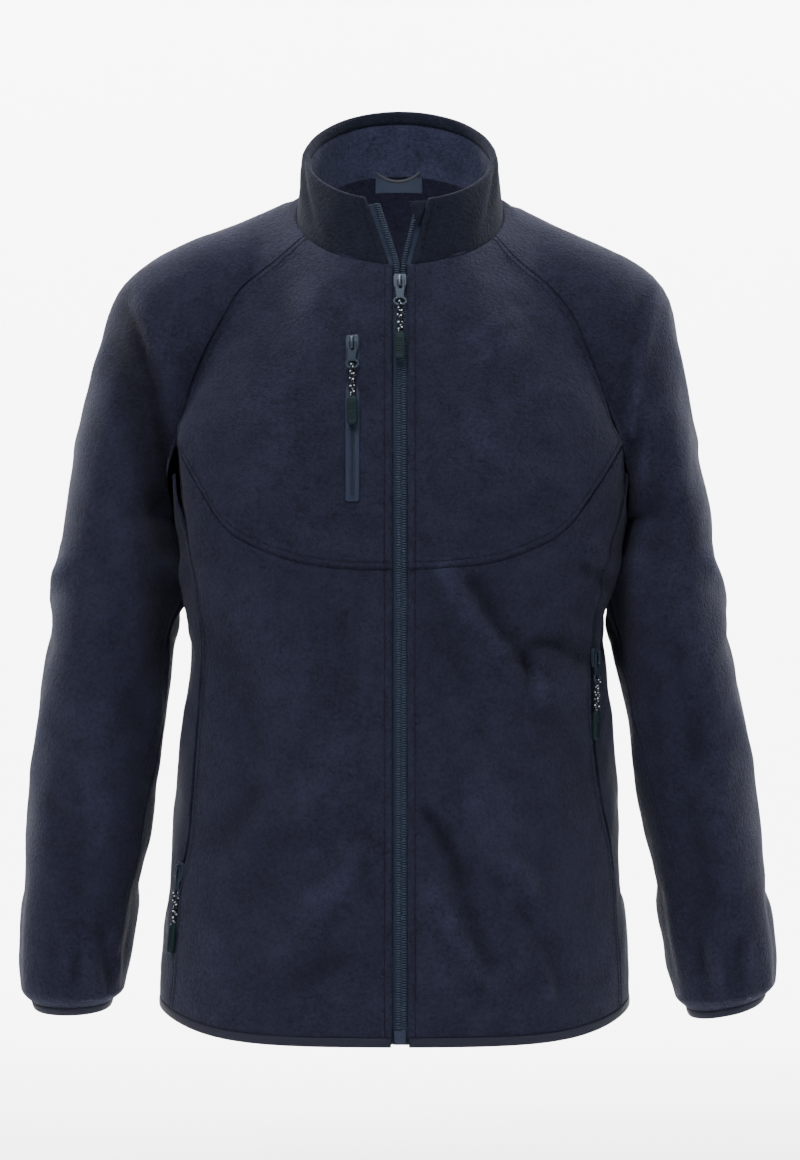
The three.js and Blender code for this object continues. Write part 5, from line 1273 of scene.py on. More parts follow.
# %% [markdown]
# ## Sliders and pulls
#
# A slider is a pair of plates with an arch on top. The tab hooks into the arch and swings; a
# twisted cord runs through the tab's ring and ends in a moulded grip. All of it is drawn in one
# frame, x across, y up along the zip and z outwards, with the tab's hinge at the origin, and is
# then put into place by one matrix. The small plates are flat outlines with rounded edges.

# %% Plates with rounded edges
def outline_plate(name, outlines, thick, bevel, back):
    """A flat outline, with holes, as a plate from z = back on; its edges are rounded."""
    curve = bpy.data.curves.new(name, "CURVE")
    curve.dimensions = "2D"
    curve.fill_mode = "BOTH"
    curve.extrude = thick / 2 - bevel
    curve.bevel_depth = bevel
    curve.bevel_resolution = 2
    curve.offset = -bevel
    for outline in outlines:
        spline = curve.splines.new("POLY")
        spline.points.add(len(outline) - 1)
        flat = np.zeros((len(outline), 4))
        flat[:, :2] = outline
        flat[:, 3] = 1
        spline.points.foreach_set("co", flat.ravel())
        spline.use_cyclic_u = True
    holder = bpy.data.objects.new(name + "_outline", curve)
    mesh = bpy.data.meshes.new_from_object(holder)
    bpy.data.objects.remove(holder)
    bpy.data.curves.remove(curve)
    co = np.zeros(len(mesh.vertices) * 3)
    mesh.vertices.foreach_get("co", co)
    co = co.reshape(-1, 3) + [0, 0, back + thick / 2]
    corners = [list(p.vertices) for p in mesh.polygons]
    bpy.data.meshes.remove(mesh)
    return co, corners


def arc(cx, cy, r, start, end, count=10):
    """Points of a circular arc; angles in turns."""
    t = np.linspace(start, end, count) * 2 * pi
    return np.stack([cx + r * np.cos(t), cy + r * np.sin(t)], -1)


def rounded_rect(wide, high, r, cy=0.0):
    """A rectangle with round corners, its middle at the height cy."""
    w, h = wide / 2 - r, high / 2 - r
    return np.concatenate([arc(w, cy + h, r, 0, 0.25, 6), arc(-w, cy + h, r, 0.25, 0.5, 6),
                           arc(-w, cy - h, r, 0.5, 0.75, 6), arc(w, cy - h, r, 0.75, 1, 6)])


def both_sides(half, foot=np.zeros((0, 2))):
    """An outline from its right half, drawn downwards, then its foot and the mirrored half."""
    mirror = [-1, 1]
    return np.concatenate([half[:1] * mirror, half, foot, half[:0:-1] * mirror])


def united(parts):
    """Several bodies as one list of points and faces."""
    points, faces, count = [], [], 0
    for p, f in parts:
        points.append(np.asarray(p))
        faces += [[i + count for i in face] for face in f]
        count += len(p)
    return np.concatenate(points), faces


def place_in(name, points, faces, frame_, smooth_angle=0.7):
    """Puts points into a frame on the garment and makes the mesh, smooth but for its sharp edges."""
    origin, across, up, out = frame_
    world = origin + points[:, :1] * across + points[:, 1:2] * up + points[:, 2:] * out
    mesh = bpy.data.meshes.new(name)
    mesh.from_pydata((world * MM).tolist(), [], faces)
    mesh.validate()
    mesh.polygons.foreach_set("use_smooth", np.ones(len(mesh.polygons), bool))
    mesh.set_sharp_from_angle(angle=smooth_angle)
    obj = bpy.data.objects.new(name, mesh)
    bpy.context.scene.collection.objects.link(obj)
    OBJECTS[name] = obj
    return obj


print("a rounded square has", len(rounded_rect(2.0, 2.0, 0.5)), "corners")

# %% [markdown]
# ## Slider, tab, cord and grip
#
# All four pulls have the same pieces, drawn in one frame: x across, y up and z out of the cloth,
# with the origin on the tab's hinge. They are placed on their zips afterwards.

# %% Slider, tab, cord and grip
AXIS = 2.0             # height of the tab's hinge over the slider's plate
PLATE = 2.4            # thickness of the slider
LOOP_LONG = 6.6        # how far the arch reaches down from the hinge
TAB = {"long": 23, "wide": 7.6, "thick": 1.1, "eye": 7.5, "eye_wide": 3.4,
       "ring": 3.9, "hole": 2.4, "flare": 1.45}
GRIP = {"top": -46.5, "long": 22.5, "wide": 8.4, "thick": 4.6}
CORD_THICK = 2.2
STANDS = AXIS + PLATE - 1.0 + 0.3


def slider_parts():
    """Two plates, a bar between them and the arch that holds the tab."""
    w = 5.2
    shield = both_sides(np.array([(w - 1.4, 5), (w - 0.4, 4.4), (w, 3.2), (w, -3), (w - 0.4, -5.5),
                                  (w - 1.6, -9.4), (w - 2.4, -10)]))
    back = -AXIS - PLATE + 1.0
    plate = outline_plate("plate", [shield], 1.3, 0.35, back + PLATE - 1.3)
    under = outline_plate("under", [shield * [0.97, 0.97]], 0.9, 0.25, back)
    base, crown = -1.3, 2.6
    side = np.concatenate([
        [(base, 3.4), (crown - 1.5, 3.4)], arc(crown - 1.2, 2.2, 1.2, 0.2, 0, 5),
        arc(crown - 1.2, -LOOP_LONG + 1, 1.2, 0, -0.25, 5),
        [(base, -LOOP_LONG - 0.2), (base, -LOOP_LONG + 1.2), (crown - 1.6, -LOOP_LONG + 1.2),
         (crown - 1.4, -LOOP_LONG + 1.5), (crown - 1.4, 1.8), (crown - 1.7, 2.0), (base, 2.0)]])
    points, faces = outline_plate("arch", [side], 2.4, 0.35, -1.2)
    arch = (np.stack([points[:, 2], points[:, 1], points[:, 0]], -1), [f[::-1] for f in faces])
    return united([plate, under, arch])


def tab_parts():
    """A flat tab: an eye for the arch, a broad shank, and a wide oval ring for the cord."""
    w, neck, wider = TAB["wide"] / 2, 3.2, TAB["flare"]
    at = -(TAB["long"] - TAB["ring"])
    open_ = np.arcsin(neck / (TAB["ring"] * wider)) / (2 * pi)
    low = -TAB["eye"]
    half = np.array([(w - 0.8, 0.4), (w - 0.25, 0.2), (w, -0.3), (w, low - 1.2), (w - 0.2, low - 2.4),
                     (neck + 0.2, low - 4.4), (neck, low - 5.2)])
    body = both_sides(half, arc(0, at, TAB["ring"], 0.25 - open_, -0.75 + open_, 30) * [wider, 1])
    eye = rounded_rect(TAB["eye_wide"], TAB["eye"], 0.9, -0.7 - TAB["eye"] / 2)
    hole = arc(0, at, TAB["hole"], 0, 0.96, 20) * [wider * 1.15, 1]
    return outline_plate("tab", [body, eye, hole], TAB["thick"], 0.3, -TAB["thick"] / 2)


def grip_parts():
    """A moulded grip: a plate with well rounded edges, a neck for the cord and ribs on its face."""
    middle = GRIP["top"] - GRIP["long"] / 2
    face = GRIP["thick"] / 2
    whole = outline_plate("grip", [rounded_rect(GRIP["wide"], GRIP["long"], 2.6, middle)],
                          GRIP["thick"] - 0.5, 1.3, -face + 0.25)
    neck = outline_plate("grip neck", [rounded_rect(5.4, 3.0, 1.0, GRIP["top"] - 0.2)], 3.6, 1.0, -1.8)
    ribs = [outline_plate("rib", [rounded_rect(5.6, 1.1, 0.5, middle + k * 2.1)], 0.5, 0.2, face - 0.35)
            for k in (-3, -2, -1, 0, 1, 2, 3)]
    return united([whole, neck, *ribs])


def cord_route():
    """Up from the grip, through the ring and back down; the two strands turn round each other."""
    at, r = -(TAB["long"] - TAB["ring"]), CORD_THICK / 2
    apart, foot, top = r + 0.25, GRIP["top"] + 0.5, -(TAB["long"] - TAB["ring"]) + 0.3
    t = np.linspace(0, 1, 7)
    turn = pi / 2 + 2.2 * pi * (1 - t) ** 1.2
    reach = mix(apart, 2.1, np.maximum(t * 6 - 5, 0))
    up = np.stack([reach * np.cos(turn), mix(foot, at - 3.6, t), reach * np.sin(turn)], -1)
    loop = [(0, at - 1.2, 1.9), (0, top - 0.3, 1.05), (0, top, 0), (0, top - 0.3, -1.05), (0, at - 1.2, -1.9)]
    return np.concatenate([up, loop, (up * [-1, 1, -1])[::-1]])


def smooth_route(points, count):
    """A centripetal Catmull-Rom curve through the points, at equal steps along it."""
    p = np.concatenate([2 * points[:1] - points[1:2], points, 2 * points[-1:] - points[-2:-1]])
    fine = []
    for a, b, c, d in zip(p[:-3], p[1:-2], p[2:-1], p[3:]):
        t0 = 0.0
        t1 = t0 + np.linalg.norm(b - a) ** 0.5
        t2 = t1 + np.linalg.norm(c - b) ** 0.5
        t3 = t2 + np.linalg.norm(d - c) ** 0.5
        t = np.linspace(t1, t2, 16)[:, None]
        ab = (t1 - t) / (t1 - t0) * a + (t - t0) / (t1 - t0) * b
        bc = (t2 - t) / (t2 - t1) * b + (t - t1) / (t2 - t1) * c
        cd = (t3 - t) / (t3 - t2) * c + (t - t2) / (t3 - t2) * d
        abc = (t2 - t) / (t2 - t0) * ab + (t - t0) / (t2 - t0) * bc
        bcd = (t3 - t) / (t3 - t1) * bc + (t - t1) / (t3 - t1) * cd
        fine.append((t2 - t) / (t2 - t1) * abc + (t - t1) / (t2 - t1) * bcd)
    line = np.concatenate(fine)
    keep = np.concatenate([[True], np.linalg.norm(np.diff(line, axis=0), axis=1) > 1e-6])
    line = line[keep]
    s = lengths_along(line)
    return at_length(np.linspace(0, s[-1], count), s, line), float(s[-1])


def round_cord(name, line, thick, sides=12, braid=None):
    """A round tube along a line, its rings carried without twist; uv is metres along and round."""
    along = unit(np.gradient(line, axis=0))
    side = np.zeros_like(along)
    side[0] = unit(np.cross(along[0], [0.3, 0.9, 0.2]))
    for i in range(1, len(line)):
        side[i] = unit(side[i - 1] - along[i] * (side[i - 1] @ along[i]))
    other = np.cross(along, side)
    t = np.linspace(0, 2 * pi, sides, endpoint=False)
    s = lengths_along(line)
    r = np.full((len(line), sides), thick / 2)
    if braid:
        lay = 2 * pi * s[:, None] / braid
        r = r * (1 + 0.05 * np.sin(lay + 2 * t) * np.sin(lay - 2 * t))
    r[0] *= 0.55
    r[-1] *= 0.55
    rings = line[:, None] + (np.cos(t)[None, :, None] * side[:, None]
                             + np.sin(t)[None, :, None] * other[:, None]) * r[..., None]
    uv = np.stack(np.broadcast_arrays(s[:, None], t[None] / (2 * pi) * thick * pi), -1).reshape(-1, 2)
    return tube(name, rings, uv)


# %% [markdown]
# Where a pull hangs follows from the cloth below it: it points down along the zip and stays just
# clear of the cloth.

# %% Place the pulls
def frame_on(origin, down, out):
    """A frame at the origin given, its y against down and its z as near to out as that allows."""
    up = unit(-np.asarray(down))
    across = unit(np.cross(up, out))
    return origin, across, up, unit(np.cross(across, up))


def front_spot(x, z, deep=0.0):
    """Place and outward direction on the front, some way below its face."""
    out = front_out(np.array(x, float), np.array(z, float))
    return point(x, front_y(x, z), z) - out * deep, out


def pocket_spot(side, z):
    """Place and outward direction on the hand pocket's seam at a height."""
    seam = side_seam(side, True, np.linspace(0, 1, 13))
    p = at_length(-z, -seam[:, 2], seam)
    p[2] = z
    return p, front_out(np.array(p[0] * 0.985), np.array(z, float))


PULLS = {"front": (-70, lambda z: front_spot(0, z, BEAD_IN), lambda z: front_spot(0, z)),
         "chest": (-121, lambda z: front_spot(cz["x"], z, -cz["lift"] - cz["thick"]),
                   lambda z: front_spot(cz["x"], z, -cz["lift"] - cz["thick"])),
         "pocket_right": (-546, lambda z: pocket_spot("right", z), lambda z: pocket_spot("right", z)),
         "pocket_left": (-372, lambda z: pocket_spot("left", z), lambda z: pocket_spot("left", z))}
for name, (z, face_at, cloth_at) in PULLS.items():
    here, out = face_at(z)
    lower, _ = face_at(z - 12)
    flat = frame_on(here + out * STANDS, lower - here, out)
    reach = GRIP["long"] - GRIP["top"]
    best = None
    for share in (0.95, 0.7):
        p, n = cloth_at(z - reach * share)
        way = unit(p + n * (GRIP["thick"] / 2 + 0.8) - flat[0])
        if best is None or way @ out > best @ out:
            best = way
    rest = frame_on(flat[0], best, out)
    place_in(f"{name}_slider", *slider_parts(), flat)
    place_in(f"{name}_tab", *tab_parts(), rest)
    place_in(f"{name}_grip", *grip_parts(), rest)
    line, long = smooth_route(cord_route(), 110)
    world = rest[0] + line[:, :1] * rest[1] + line[:, 1:2] * rest[2] + line[:, 2:] * rest[3]
    round_cord(f"{name}_cord", world, CORD_THICK, braid=2.6)

# %% [markdown]
# ## Small pieces
#
# The box that joins the zip's lower ends, the loop the jacket hangs from, the bare label behind
# it and the folded guard that keeps the slider off the chin.

# %% Box, loop, label and chin guard
y_box = float(front_y(0.0, -674.0))
box_frame = (np.array([0, y_box + 3.4 - 0.4, TAPE_END - 5.8]), np.array([1.0, 0, 0]), np.array([0, 0, 1.0]),
             np.array([0, -1.0, 0]))
box_low = outline_plate("box", [rounded_rect(9.4, 11, 1.5)], 3.2, 0.5, 0.0)
box_step = outline_plate("step", [rounded_rect(8.0, 4.2, 1.0, -2.6)], 0.8, 0.3, 2.8)
box_pin = outline_plate("pin", [rounded_rect(1.5, 4.6, 0.6, 2.6)], 0.8, 0.3, 2.8)
place_in("zip_box", *united([box_low, box_step, box_pin]), box_frame)

LOOP = {"x0": -20.4, "x1": 17, "top": 34.6, "low": 26.5, "y": 61.5, "thick": 3.0}
t = np.linspace(0, 1, 15)
loop_line = point(mix(LOOP["x0"], LOOP["x1"], t), LOOP["y"] + 1.5 * np.sin(pi * t),
                  LOOP["top"] - (LOOP["top"] - LOOP["low"]) * np.sin(pi * t) ** 0.7)
loop_line, loop_long = smooth_route(loop_line, 60)
round_cord("hanger_loop", loop_line, LOOP["thick"], sides=14, braid=3.4)

LABEL = {"x0": -21, "x1": 19, "top": 33.5, "low": 18.5}
x, z = np.meshgrid(np.linspace(LABEL["x0"], LABEL["x1"], 60), np.linspace(LABEL["top"], LABEL["low"], 24))
z = z - 0.002 * x * x
edge = np.minimum(np.minimum(x - LABEL["x0"], LABEL["x1"] - x), 9)
flutter = 0.12 * np.sin(x / 5.5) + 0.3 * bell(edge, 1.2, 0.35) * 0.4
face = point(x, back_y(x, z) - WALL - 2.3 + flutter, z)
back_face = point(x, back_y(x, z) - WALL - 1.5 + flutter, z)
layer_between("neck_label", face, back_face)

guard = collar_frame(np.array([1.0]))
tall = float(guard["tall"][0])
u, v = np.linspace(0, 1, 26), np.linspace(0, 1, 26)
# the guard's outline: a corner of cloth, folded down over the zip's top
left_edge = np.array([(0.6, tall - 3), (2.2, tall - 21)])
right_edge = np.array([(15.0, tall - 3.6), (4.2, tall - 21.6)])
upper = mix(left_edge[0], right_edge[0], u[:, None])
lower = mix(left_edge[1], right_edge[1], u[:, None])
a = mix(upper[None], lower[None], v[:, None, None])
puff = (1 - (2 * u[None] - 1) ** 6) * (1 - (2 * v[:, None] - 1) ** 6)


def on_guard(a_, o):
    """Points from places across and up the collar's left edge, o in front of the stand's middle."""
    p = guard["foot"][0] + guard["up"][0] * a_[..., 1:2] + guard["out"][0] * (o - COLLAR_HALF)[..., None]
    return p + np.array([-1.0, 0, 0]) * a_[..., 0:1]


layer_between("chin_guard", on_guard(a, 3.7 + 0.9 * puff), on_guard(a, 2.9 - 0.7 * puff))
print("loop, mm long:", round(loop_long, 1))

# %% [markdown]
# ## Sewing
#
# Two rows of stitches hold every topstitched seam down. A row runs at a fixed distance from the
# border of its panel, in the groove that the thread pulls into the cloth. One stitch is a short
# bead of thread; its ends dip into the cloth.

# %% Sewing
STITCH_PITCH = 3.1     # from one stitch to the next
STITCH_LONG = 2.5
THREAD = 0.55
HEM_STITCH = 2.0       # the row above a binding, from the cloth's edge


def at_distance(name, border, distance):
    """The line on a panel's outer face that runs at a fixed distance from one border."""
    skin, n = SKINS[name]
    d = from_border(BASES[name], border)
    if border in ("inner", "outer"):
        rows, far = (skin, n), d
        flip = border == "outer"
    else:
        rows, far = (skin.swapaxes(0, 1), n.swapaxes(0, 1)), d.swapaxes(0, 1)
        flip = border == "bottom"
    skin, n = rows
    if flip:
        skin, n, far = skin[:, ::-1], n[:, ::-1], far[:, ::-1]
    count = np.arange(far.shape[0])
    i = np.clip((far < distance).sum(1) - 1, 0, far.shape[1] - 2)
    t = ((distance - far[count, i]) / (far[count, i + 1] - far[count, i]))[:, None]
    return mix(skin[count, i], skin[count, i + 1], t), mix(n[count, i], n[count, i + 1], t)


def sew(name, lines):
    """One mesh with all the stitches of several lines."""
    frames = [frames_on(path, outs, STITCH_PITCH, STITCH_PITCH / 2) for path, outs in lines]
    place, across, up, out = (np.concatenate([f[k] for f in frames]) for k in range(4))
    copies(name, bead(STITCH_LONG, THREAD, THREAD), place + out * 0.12, up, across, out)
    return len(place)


TWIN = (STITCH_NEAR, STITCH_FAR)
LOW_PANELS = ("front_right", "side_right", "back", "side_left", "front_left")
LINES_SEWN = {
    "raglan": [at_distance(f"chest_{s}", "outer", d) for s in SIGN for d in TWIN],
    "chest": [at_distance(f"chest_{s}", "bottom", d) for s in SIGN for d in TWIN],
    "front_sides": [at_distance(f"front_{s}", "outer", d) for s in SIGN for d in TWIN],
    "back_sides": [at_distance("back", b, d) for b in ("inner", "outer") for d in TWIN],
    "zip_edge": [at_distance(f"{p}_{s}", "inner", ZIP_STITCH) for s in SIGN for p in ("chest", "front")],
    "hem": [at_distance(p, "bottom", HEM_STITCH) for p in LOW_PANELS],
    "cuffs": [at_distance(f"sleeve_{s}", "bottom", HEM_STITCH) for s in SIGN],
}
for part, lines in LINES_SEWN.items():
    print("stitches,", part, sew(f"stitches_{part}", lines))
collar_lines = []
for u0 in (ZIP_STITCH / COLLAR_LONG, 1 - ZIP_STITCH / COLLAR_LONG):
    h = np.linspace(1, 52, 40)
    f = collar_frame(np.full_like(h, u0))
    h = h / 52 * (f["tall"] - COLLAR_HALF - 1)
    collar_lines.append((on_collar(f, h, np.full_like(h, COLLAR_HALF - 0.35)), f["out"]))
f = collar_frame(np.linspace(0.012, 0.988, 200))
h = f["tall"] - ROLL_DOWN + 2.2
collar_lines.append((on_collar(f, h, np.full_like(h, -COLLAR_HALF - 0.1)), -f["out"]))
print("stitches, collar", sew("stitches_collar", collar_lines))

# %% [markdown]
# ## Materials
#
# Fleece is a knitted polyester whose loops are brushed up on both sides: it reflects very little
# straight back, but its upright fibres catch light at grazing angles, which gives the pale rim
# along the sleeves. That is the sheen. The pile lies in small tufts, so the surface is grained at
# about a millimetre and mottled at two or three; both come from noise in object space, whose
# scale is one over the real size in metres.

# %% Materials
FLECK_PITCH = 0.0054   # metres along the pull cord, from one pale fleck to the next
CLOUD = 0.018          # metres, size of the faint clouds that handling leaves in the pile


def linear(code):
    """A colour picked as sRGB hex, turned to linear light by the sRGB formula."""
    rgb = np.array([int(code[i:i + 2], 16) for i in (1, 3, 5)]) / 255
    rgb = np.where(rgb <= 0.04045, rgb / 12.92, ((rgb + 0.055) / 1.055) ** 2.4)
    return (*rgb, 1.0)


def add(tree, kind, settings=None, **inputs):
    """Adds one node. An input is named by its socket, or i0, i1, i2; it is a link or a plain value."""
    node = tree.nodes.new(kind)
    for key, value in (settings or {}).items():
        if key in node.bl_rna.properties:
            setattr(node, key, value)
        else:
            node.inputs[key].default_value = value
    for key, source in inputs.items():
        numbered = key[0] == "i" and key[1:].isdigit()
        socket = node.inputs[int(key[1:])] if numbered else node.inputs[key.replace("_", " ")]
        if isinstance(source, bpy.types.NodeSocket):
            tree.links.new(source, socket)
        else:
            socket.default_value = source
    return node


def new_material(name, **settings):
    """A material with its Principled shader set; returns material, node tree and shader."""
    material = bpy.data.materials.new(name)
    material.use_nodes = True
    tree = material.node_tree
    shader = tree.nodes["Principled BSDF"]
    for key, value in settings.items():
        shader.inputs[key.replace("_", " ")].default_value = value
    return material, tree, shader


def fleece(name, colour, sheen, grain=0.0012, tuft=0.0030, depth=0.0012):
    """Brushed polyester: no gloss, a soft sheen, grain and tufts by noise; sizes in metres."""
    material, tree, shader = new_material(
        name, Roughness=0.95, Sheen_Weight=sheen, Sheen_Roughness=0.4, Sheen_Tint=linear("#a3a9bb"),
        IOR=1.4, Specular_IOR_Level=0.18)
    spot = add(tree, "ShaderNodeTexCoord").outputs["Object"]
    fine = add(tree, "ShaderNodeTexNoise", {"Scale": 1 / grain, "Detail": 2.0, "Roughness": 0.7}, Vector=spot)
    tufts = add(tree, "ShaderNodeTexNoise", {"Scale": 1 / tuft, "Detail": 3.0, "Roughness": 0.6}, Vector=spot)
    cloud = add(tree, "ShaderNodeTexNoise", {"Scale": 1 / CLOUD, "Detail": 2.0}, Vector=spot)
    times_add = {"operation": "MULTIPLY_ADD"}
    both = add(tree, "ShaderNodeMath", times_add, i0=fine.outputs["Fac"], i1=0.7, i2=tufts.outputs["Fac"])
    more = add(tree, "ShaderNodeMath", times_add, i0=cloud.outputs["Fac"], i1=0.5, i2=both.outputs[0])
    ramp = add(tree, "ShaderNodeMapRange",
               {"From Min": 0.75, "From Max": 1.45, "To Min": 0.45, "To Max": 1.6}, Value=more.outputs[0])
    # painted shade and light: the tone is darkened in the folds' hollows and lightened on their ridges, from
    # the fold height stored at each point
    fold_shade = add(tree, "ShaderNodeAttribute", {"attribute_name": "fold_shade"}).outputs["Fac"]
    shade = add(tree, "ShaderNodeMath", times_add, i0=ramp.outputs[0], i1=fold_shade, i2=ramp.outputs[0])
    tint = add(tree, "ShaderNodeHueSaturation", {"Color": linear(colour)}, Value=shade.outputs[0])
    tree.links.new(tint.outputs[0], shader.inputs["Base Color"])
    bump = add(tree, "ShaderNodeBump", {"Strength": 1.0, "Distance": depth}, Height=both.outputs[0])
    tree.links.new(bump.outputs[0], shader.inputs["Normal"])
    return material


def woven(name, colour, pitch, depth, roughness=0.8, sheen=0.05, gloss=0.5):
    """A woven or knitted band: fine ribs along its own length."""
    material, tree, shader = new_material(
        name, Base_Color=linear(colour), Roughness=roughness, Sheen_Weight=sheen, Specular_IOR_Level=gloss)
    spot = add(tree, "ShaderNodeTexCoord").outputs["Object"]
    # a band texture of scale 1 repeats every 0.314 units
    bands = {"wave_type": "BANDS", "bands_direction": "Z", "Scale": 0.314 / pitch}
    ribs = add(tree, "ShaderNodeTexWave", {**bands, "Distortion": 1.0, "Detail": 1.0}, Vector=spot)
    fine = add(tree, "ShaderNodeTexNoise", {"Scale": 1 / 0.0006}, Vector=spot)
    both = add(tree, "ShaderNodeMath", {"operation": "ADD"}, i0=ribs.outputs["Fac"], i1=fine.outputs["Fac"])
    bump = add(tree, "ShaderNodeBump", {"Strength": 0.5, "Distance": depth}, Height=both.outputs[0])
    tree.links.new(bump.outputs[0], shader.inputs["Normal"])
    return material


def flecked_cord(name):
    """A braided pull cord: dark strands, and a pale one that comes up as a fleck at every turn."""
    material, tree, shader = new_material(name, Roughness=0.75, Specular_IOR_Level=0.2)
    uv = add(tree, "ShaderNodeUVMap", {"uv_map": "cloth"}).outputs["UV"]
    split = add(tree, "ShaderNodeSeparateXYZ", Vector=uv)

    def math(kind, first, second=0.0):
        return add(tree, "ShaderNodeMath", {"operation": kind}, i0=first, i1=second).outputs[0]

    def in_band(first, second, kind, below):
        """1 where the fraction of the sum or difference is below a limit."""
        return math("LESS_THAN", math("FRACT", math(kind, first, second)), below)
    along = math("MULTIPLY", split.outputs["X"], 1 / FLECK_PITCH)
    round_ = math("MULTIPLY", split.outputs["Y"], 1 / (CORD_THICK * MM * pi))
    strand = in_band(along, round_, "ADD", 0.36)
    crossing = in_band(math("MULTIPLY", along, 2.0), round_, "SUBTRACT", 0.38)
    pale = math("MULTIPLY", strand, crossing)
    # the mixing node's colour sockets are its inputs 6 and 7
    colour = add(tree, "ShaderNodeMix", {"data_type": "RGBA"},
                 i0=pale, i6=linear("#0b0d13"), i7=linear("#c3cad8"))
    tree.links.new(colour.outputs[2], shader.inputs["Base Color"])
    return material


def plain(name, colour, roughness, metallic=0.0, ior=1.5, gloss=0.5):
    """One even colour; gloss is the shader's specular level, 0.5 for a clean surface of that index."""
    return new_material(name, Base_Color=linear(colour), Roughness=roughness, Metallic=metallic, IOR=ior,
                        Specular_IOR_Level=gloss)[0]


MATERIALS = {
    # knitted and brushed polyester: dark and matt, paler at grazing angles
    "fleece": fleece("brushed navy fleece", "#191a29", 0.1),
    # a darker copy of the fleece, with less sheen, for the collar and chin guard: painted shade for an
    # upright stand that takes less light than the chest
    "collar": fleece("collar fleece with painted shade", "#0f121e", 0.04),
    # the collar's inner layer is less worn, with longer tufts
    "inside": fleece("inside of the fleece", "#1e2031", 0.1, grain=0.0013, tuft=0.0034),
    # stretch jersey, knitted in fine ribs: matt and smooth beside the pile
    "binding": woven("stretch binding", "#181a27", 0.0011, 0.0002, sheen=0.03, gloss=0.2),
    # polyester tape, woven; its ribs are drawn 2 mm apart, coarser than real, so that they show
    "zip_tape": woven("woven zip tape", "#182030", 0.0020, 0.0003, sheen=0.0, gloss=0.2),
    # drawn nylon wire, wound to a coil: a weak gloss on each turn
    "coil": plain("nylon coil", "#222d3f", 0.5, gloss=0.25),
    # tape with a film of polyurethane: smoother, with a dull shine
    "coated": woven("coated zip tape", "#1d2436", 0.0012, 0.0001, roughness=0.55, sheen=0.0, gloss=0.2),
    # die-cast zinc, painted grey-blue: half metal, a soft gloss
    "metal": plain("painted zinc", "#28323f", 0.28, metallic=0.4),
    # braided polyester with one pale strand
    "cord": flecked_cord("flecked pull cord"),
    # moulded synthetic rubber: dark green-grey and almost without gloss
    "grip": plain("moulded rubber", "#0e1c20", 0.65, gloss=0.12),
    # twisted polyester, matt
    "loop": woven("hanger cord", "#121521", 0.0012, 0.0002),
    # woven satin ribbon: a little gloss
    "label": woven("woven label", "#242e42", 0.0007, 0.0001, roughness=0.6, gloss=0.3),
    # spun polyester thread, matt; its colour is darker than the cloth, painted shade for the groove it lies
    # in
    "thread": plain("thread with painted groove shade", "#0e1019", 0.8, gloss=0.1),
}
print("materials:", len(MATERIALS))

# %% [markdown]
# ## What each piece is
#
# Every mesh stands in for one plain solid or adds a detail to it. It rides on the body that it
# moves with, and takes the material slot that the record gives such a piece.

# %% Bodies and slots
def wear(name, material, node=None, body="jacket"):
    """Gives a piece its material, body and slot, and names the plain solid that it replaces."""
    obj = OBJECTS[name]
    obj.data.materials.clear()
    obj.data.materials.append(MATERIALS[material])
    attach(obj, body)
    if node:
        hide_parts(node)
    return obj


for side in SIGN:
    for part in ("chest", "front", "side", "sleeve"):
        wear(f"{part}_{side}", "fleece", f"{part}_{side}")
    wear(f"cuff_binding_{side}", "binding", f"cuff_binding_{side}")
    wear(f"front_tape_{side}", "zip_tape", f"front_tape_{side}")
    wear(f"front_coil_{side}", "coil")
    wear(f"pocket_tape_{side}", "zip_tape", f"pocket_tape_{side}")
    wear(f"pocket_coil_{side}", "coil")
    wear(f"chest_coil_{side}", "coated")
wear("back", "fleece", "back")
# the collar and chin guard take the darker copy of the fleece, which paints shade onto them
for part in ("collar_outer", "chin_guard"):
    wear(part, "collar", part)
wear("collar_inner", "inside", "collar_inner")
wear("hem_binding", "binding", "hem_binding")
wear("chest_tape", "coated", "chest_tape")
wear("zip_box", "coated", "zip_box")
wear("hanger_loop", "loop", "hanger_loop")
wear("neck_label", "label", "neck_label")
for part in (*LINES_SEWN, "collar"):
    wear(f"stitches_{part}", "thread")
for name in PULLS:
    wear(f"{name}_slider", "metal", f"{name}_slider")
    wear(f"{name}_tab", "metal", f"{name}_tab", f"{name}_pull")
    wear(f"{name}_cord", "cord", f"{name}_cord", f"{name}_pull")
    wear(f"{name}_grip", "grip", f"{name}_grip", f"{name}_pull")
print("pieces:", len(OBJECTS))

# %% [markdown]

# %% [markdown]
# ## Stage, light and camera
#
# The jacket hangs in front of a sheet of white paper that bends up behind it. One large soft lamp
# at the upper left and one above give the broad light of the photo, narrow lamps behind give the
# pale rims of the sleeves, and two lamps light the paper alone. Sizes here are metres.

# %% Stage, light and camera
floor = bpy.data.meshes.new("studio")
span, lift, bend = 6.0, 5.0, 1.2   # the paper's half width, height and bend
FRONT_END, BEND_AT = -3.5, 2.2     # it starts before the camera's place and bends up behind
FLOOR_AT = -0.86
turns = np.linspace(0, pi / 2, 16)
curve = [(BEND_AT + bend * np.sin(a), bend * (1 - np.cos(a))) for a in turns]
profile = [(FRONT_END, 0.0), *curve, (BEND_AT + bend, lift)]
corners = [(x, y, z + FLOOR_AT) for y, z in profile for x in (-span, span)]
floor.from_pydata(corners, [], [(2 * i, 2 * i + 1, 2 * i + 3, 2 * i + 2) for i in range(len(profile) - 1)])
floor.polygons.foreach_set("use_smooth", np.ones(len(floor.polygons), bool))
studio = bpy.data.objects.new("studio", floor)
bpy.context.scene.collection.objects.link(studio)
studio.data.materials.append(plain("white paper", "#f4f4f4", 0.9))


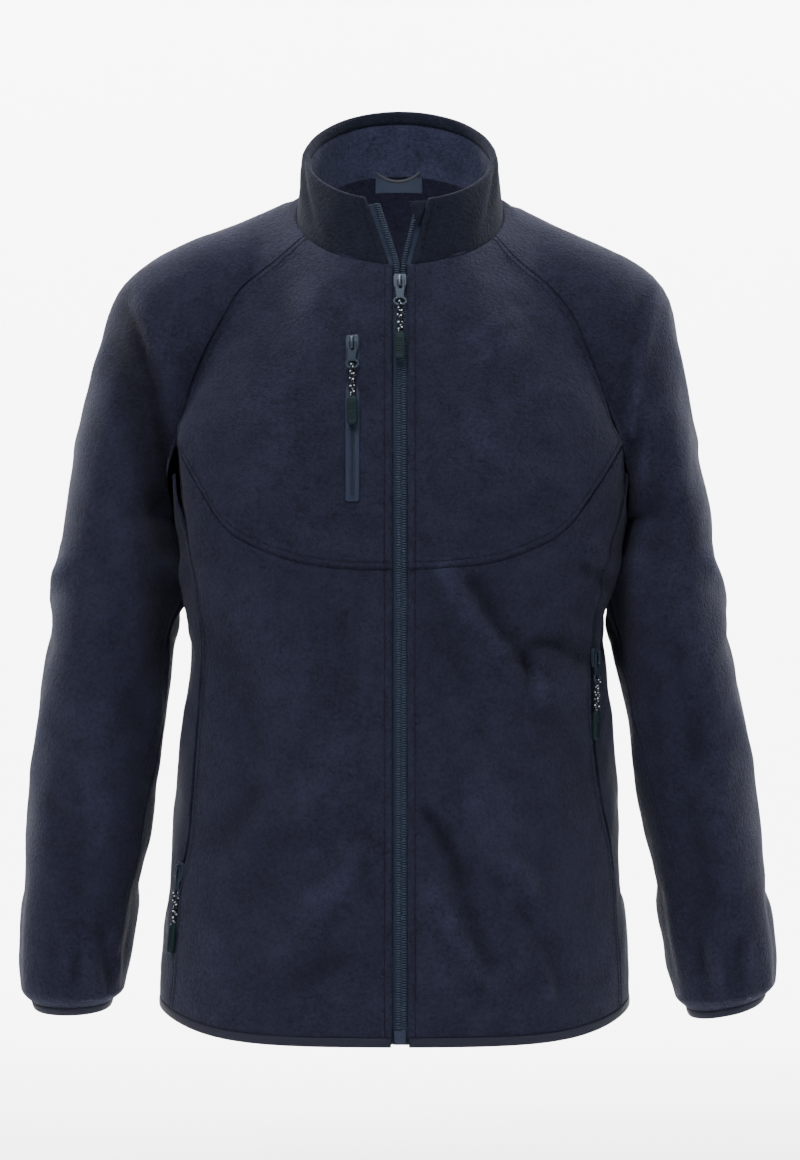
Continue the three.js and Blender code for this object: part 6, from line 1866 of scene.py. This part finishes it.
def softbox(name, at, aim, size, watts, tall=None):
    """A rectangular lamp at one place, turned to face another."""
    light = bpy.data.lights.new(name, "AREA")
    light.shape = "RECTANGLE"
    light.size, light.size_y = size, tall or size
    light.energy = watts
    obj = bpy.data.objects.new(name, light)
    obj.location = at
    obj.rotation_euler = (Vector(aim) - Vector(at)).to_track_quat("-Z", "Y").to_euler()
    bpy.context.scene.collection.objects.link(obj)
    return obj


lights = [
    softbox("key", (-0.9, -2.0, 2.4), (0, 0, -0.15), 1.2, 112),
    softbox("fill", (1.9, -2.3, 0.4), (0, 0, -0.35), 1.4, 8, 2.0),
    softbox("left rim", (-2.4, 0.6, 0.1), (-0.2, 0, -0.35), 0.8, 4.5, 2.2),
    softbox("right rim", (2.4, 0.6, 0.1), (0.2, 0, -0.35), 0.8, 4, 2.2),
    softbox("top", (0.2, -0.7, 2.2), (0, 0, 0), 1.2, 68),
    softbox("wall left", (-1.6, 1.4, 1.5), (0, 3.2, 0.2), 1.6, 380),
    softbox("wall right", (1.6, 1.4, 1.5), (0, 3.2, 0.2), 1.6, 380),
]
# a small lamp behind the zip lights the inside of the back, as in a picture of an empty jacket
lights.append(softbox("inside lamp", (0, -0.07, -0.04), (0, 0.1, 0.0), 0.05, 0.24))
lights[-1].visible_camera = False
world = bpy.data.worlds.new("studio air")
world.use_nodes = True
world.node_tree.nodes["Background"].inputs["Color"].default_value = (1, 1, 1, 1)
world.node_tree.nodes["Background"].inputs["Strength"].default_value = 0.16
bpy.context.scene.world = world

# The picture is 1160 pixels high, and one of them is 0.83 mm at the jacket's middle, seen from 3 m.
PIXEL, PICTURE_HIGH, AWAY, EYE_AT = 0.83, 1160, 3.0, -0.311
lens = bpy.data.cameras.new("camera")
lens.sensor_width = 36
lens.sensor_fit = "AUTO"
lens.lens = AWAY / MM / PIXEL * lens.sensor_width / PICTURE_HIGH
camera = bpy.data.objects.new("camera", lens)
camera.location = (0, -AWAY, EYE_AT)
camera.rotation_euler = (pi / 2, 0, 0)
bpy.context.scene.collection.objects.link(camera)
bpy.context.scene.camera = camera
print("lens, mm:", round(lens.lens, 1), "and lamps:", len(lights))
